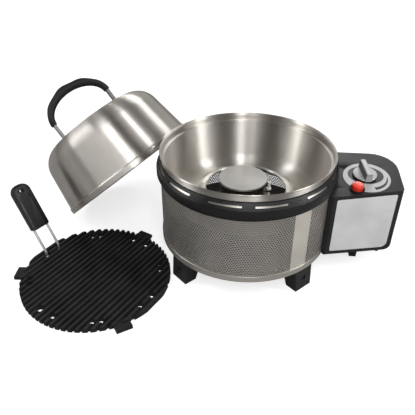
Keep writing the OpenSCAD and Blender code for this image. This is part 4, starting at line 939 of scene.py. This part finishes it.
class GRILL_OT_stage(Operator):
    """Floor, light and camera"""

    bl_idname = "grill.stage"
    bl_label = "Stage"

    def execute(self, context):
        settings = context.scene.grill_stage
        self.floor()
        self.room(context, settings.sky)
        for name, at, aim, size, power in (
            ("front", (0.33, -1.37, 1.7), (0, 0, 0.1), (0.22, 1.0), 12),
            ("slit", (-0.18, -1.45, 1.6), (0, 0, 0.1), (0.06, 0.9), 3),
            ("right", (1.70, -0.36, 1.35), (0, 0, 0.1), (0.24, 1.2), 15),
            ("left", (-1.72, -0.30, 1.35), (0, 0, 0.1), (0.24, 1.2), 12),
            ("back", (0.2, 1.6, 1.5), (0, 0, 0.15), (1.2, 0.5), 9),
        ):
            self.lamp(context, name, at, aim, size, power * settings.lamp_power)
        self.camera(context)
        context.scene.view_settings.view_transform = "Standard"
        return {"FINISHED"}

    def seen(self, tree, *rays):
        """1 for the rays of those kinds, 0 for the rest."""
        path = tree.nodes.new("ShaderNodeLightPath")
        total = path.outputs[rays[0]]
        for ray in rays[1:]:
            most = tree.nodes.new("ShaderNodeMath")
            most.operation = "MAXIMUM"
            tree.links.new(total, most.inputs[0])
            tree.links.new(path.outputs[ray], most.inputs[1])
            total = most.outputs[0]
        return total

    def floor(self):
        work = bmesh.new()
        bmesh.ops.create_grid(work, x_segments=1, y_segments=1, size=8)
        bmesh.ops.translate(work, verts=work.verts, vec=(0, 0, -0.4 * MM))
        mesh = bpy.data.meshes.new("floor")
        work.to_mesh(mesh)
        work.free()
        floor = bpy.data.objects.new("floor", mesh)
        bpy.context.collection.objects.link(floor)
        finish = Finish("floor_white", (0.34, 0.33, 0.32), 0.9)
        tree = finish.tree
        reach = finish.node("ShaderNodeVectorMath", {0: finish.place()}, operation="LENGTH").outputs["Value"]
        far = finish.between(reach, 0.74, 1.0, (0.7, 1.6))
        glow = finish.node("ShaderNodeEmission", {"Color": (1, 1, 1, 1), "Strength": far})
        shade = finish.node("ShaderNodeBsdfDiffuse", {"Color": (0.46, 0.46, 0.46, 1)})
        both = finish.node("ShaderNodeAddShader", {0: glow.outputs[0], 1: shade.outputs[0]})
        mix = finish.node("ShaderNodeMixShader", {1: finish.shader.outputs[0], 2: both.outputs[0]})
        tree.links.new(self.seen(tree, "Is Camera Ray", "Is Transmission Ray"), mix.inputs[0])
        tree.links.new(mix.outputs[0], tree.nodes["Material Output"].inputs["Surface"])
        mesh.materials.append(finish.material)

    def room(self, context, strength):
        """White to look at, even for matt faces, and tall bright panels round the room in mirrors."""
        world = bpy.data.worlds.new("studio")
        world.use_nodes = True
        tree = world.node_tree
        plain = tree.nodes["Background"]
        plain.inputs["Color"].default_value = (1, 1, 1, 1)
        plain.inputs["Strength"].default_value = strength
        white = tree.nodes.new("ShaderNodeBackground")
        white.inputs["Color"].default_value = (1, 1, 1, 1)
        mirrored = tree.nodes.new("ShaderNodeBackground")
        tree.links.new(self.panels(tree), mirrored.inputs["Color"])
        below = plain
        layers = ((("Is Glossy Ray",), mirrored), (("Is Camera Ray", "Is Transmission Ray"), white))
        for rays, above in layers:
            mix = tree.nodes.new("ShaderNodeMixShader")
            tree.links.new(self.seen(tree, *rays), mix.inputs[0])
            tree.links.new(below.outputs[0], mix.inputs[1])
            tree.links.new(above.outputs[0], mix.inputs[2])
            below = mix
        tree.links.new(below.outputs[0], tree.nodes["World Output"].inputs["Surface"])
        context.scene.world = world

    def panels(self, tree):
        """Tall bright panels by their direction from the front, dimmer overhead."""
        heading = tree.nodes.new("ShaderNodeTexCoord")
        parts = tree.nodes.new("ShaderNodeSeparateXYZ")
        tree.links.new(heading.outputs["Generated"], parts.inputs[0])
        tall = self.tones(tree, ((0.0, 0.80), (0.12, 1.0), (0.35, 0.95), (0.6, 0.75), (1.0, 0.45)))
        tree.links.new(parts.outputs[2], tall.inputs[0])
        back = tree.nodes.new("ShaderNodeMath")
        back.operation = "MULTIPLY"
        back.inputs[1].default_value = -1
        tree.links.new(parts.outputs[1], back.inputs[0])
        around = tree.nodes.new("ShaderNodeMath")
        around.operation = "ARCTAN2"
        tree.links.new(parts.outputs[0], around.inputs[0])
        tree.links.new(back.outputs[0], around.inputs[1])
        share = tree.nodes.new("ShaderNodeMapRange")
        share.inputs["From Min"].default_value, share.inputs["From Max"].default_value = -math.pi, math.pi
        tree.links.new(around.outputs[0], share.inputs["Value"])
        panels = self.tones(tree, tuple((0.5 + a / 360, tone) for a, tone in (
            (-180, 0.6), (-140, 0.4), (-114, 0.06), (-101, 0.06), (-97, 1.0), (-89, 1.0), (-85, 0.15),
            (-80, 0.15), (-76, 1.0), (-68, 1.0), (-60, 0.10), (-26, 0.10), (-16, 0.9), (-6, 1.0), (4, 0.9),
            (8, 0.4), (12, 0.9), (22, 0.10), (52, 0.10), (64, 0.9), (76, 1.0), (86, 0.9), (104, 0.10),
            (130, 0.4), (180, 0.6),
        )))
        tree.links.new(share.outputs[0], panels.inputs[0])
        both = tree.nodes.new("ShaderNodeVectorMath")
        both.operation = "MULTIPLY"
        tree.links.new(tall.outputs[0], both.inputs[0])
        tree.links.new(panels.outputs[0], both.inputs[1])
        return both.outputs[0]

    def tones(self, tree, steps):
        """Ramp through warm greys, from (place, tone) in rising order."""
        ramp = tree.nodes.new("ShaderNodeValToRGB")
        stops = ramp.color_ramp.elements
        for i, (place, tone) in enumerate(steps):
            stop = stops[0] if i == 0 else stops[-1] if i == len(steps) - 1 else stops.new(place)
            stop.position = place
            stop.color = (tone, 0.99 * tone, 0.975 * tone, 1)
        return ramp

    def lamp(self, context, name, at, aim, size, power):
        light = bpy.data.lights.new(name, "AREA")
        light.shape = "RECTANGLE"
        light.size, light.size_y = size
        light.energy = power
        lamp = bpy.data.objects.new(name, light)
        lamp.location = at
        lamp.rotation_euler = (Vector(aim) - Vector(at)).to_track_quat("-Z", "Y").to_euler()
        context.collection.objects.link(lamp)

    def camera(self, context):
        data = bpy.data.cameras.new("camera")
        data.sensor_width = 36
        data.lens = LENS
        data.clip_start = 0.01
        camera = bpy.data.objects.new("camera", data)
        forward = Vector(LOOK).normalized()
        right = forward.cross(Vector((0, 0, 1))).normalized()
        up = right.cross(forward)
        turn = Matrix((right, up, -forward)).transposed().to_4x4()
        camera.matrix_world = Matrix.Translation(EYE) @ turn
        context.collection.objects.link(camera)
        context.scene.camera = camera


class GRILL_PT_panel(Panel):
    """Sizes, colours and the pieces in the order in which they are made"""

    bl_label = "Portable gas grill"
    bl_space_type = "VIEW_3D"
    bl_region_type = "UI"
    bl_category = "Grill"

    def draw(self, context):
        for group in (context.scene.grill_sizes, context.scene.grill_colours, context.scene.grill_stage):
            box = self.layout.box()
            for name in group.__annotations__:
                box.prop(group, name)
        for operator in OPERATORS:
            self.layout.operator(operator.bl_idname)


GROUPS = {"grill_sizes": GrillSizes, "grill_colours": GrillColours, "grill_stage": GrillStage}
OPERATORS = (
    GRILL_OT_shell, GRILL_OT_foot_ring, GRILL_OT_feet, GRILL_OT_top_ring, GRILL_OT_bowl, GRILL_OT_burner,
    GRILL_OT_gas_box, GRILL_OT_controls, GRILL_OT_lid, GRILL_OT_griddle, GRILL_OT_stage,
)


def register():
    for cls in (*GROUPS.values(), *OPERATORS, GRILL_PT_panel):
        bpy.utils.register_class(cls)
    for name, group in GROUPS.items():
        setattr(bpy.types.Scene, name, PointerProperty(type=group))


def unregister():
    for name in GROUPS:
        delattr(bpy.types.Scene, name)
    for cls in (GRILL_PT_panel, *reversed(OPERATORS), *reversed(GROUPS.values())):
        bpy.utils.unregister_class(cls)


def main():
    register()
    for operator in OPERATORS:
        group, name = operator.bl_idname.split(".")
        getattr(getattr(bpy.ops, group), name)()


if __name__ == "__main__":
    main()
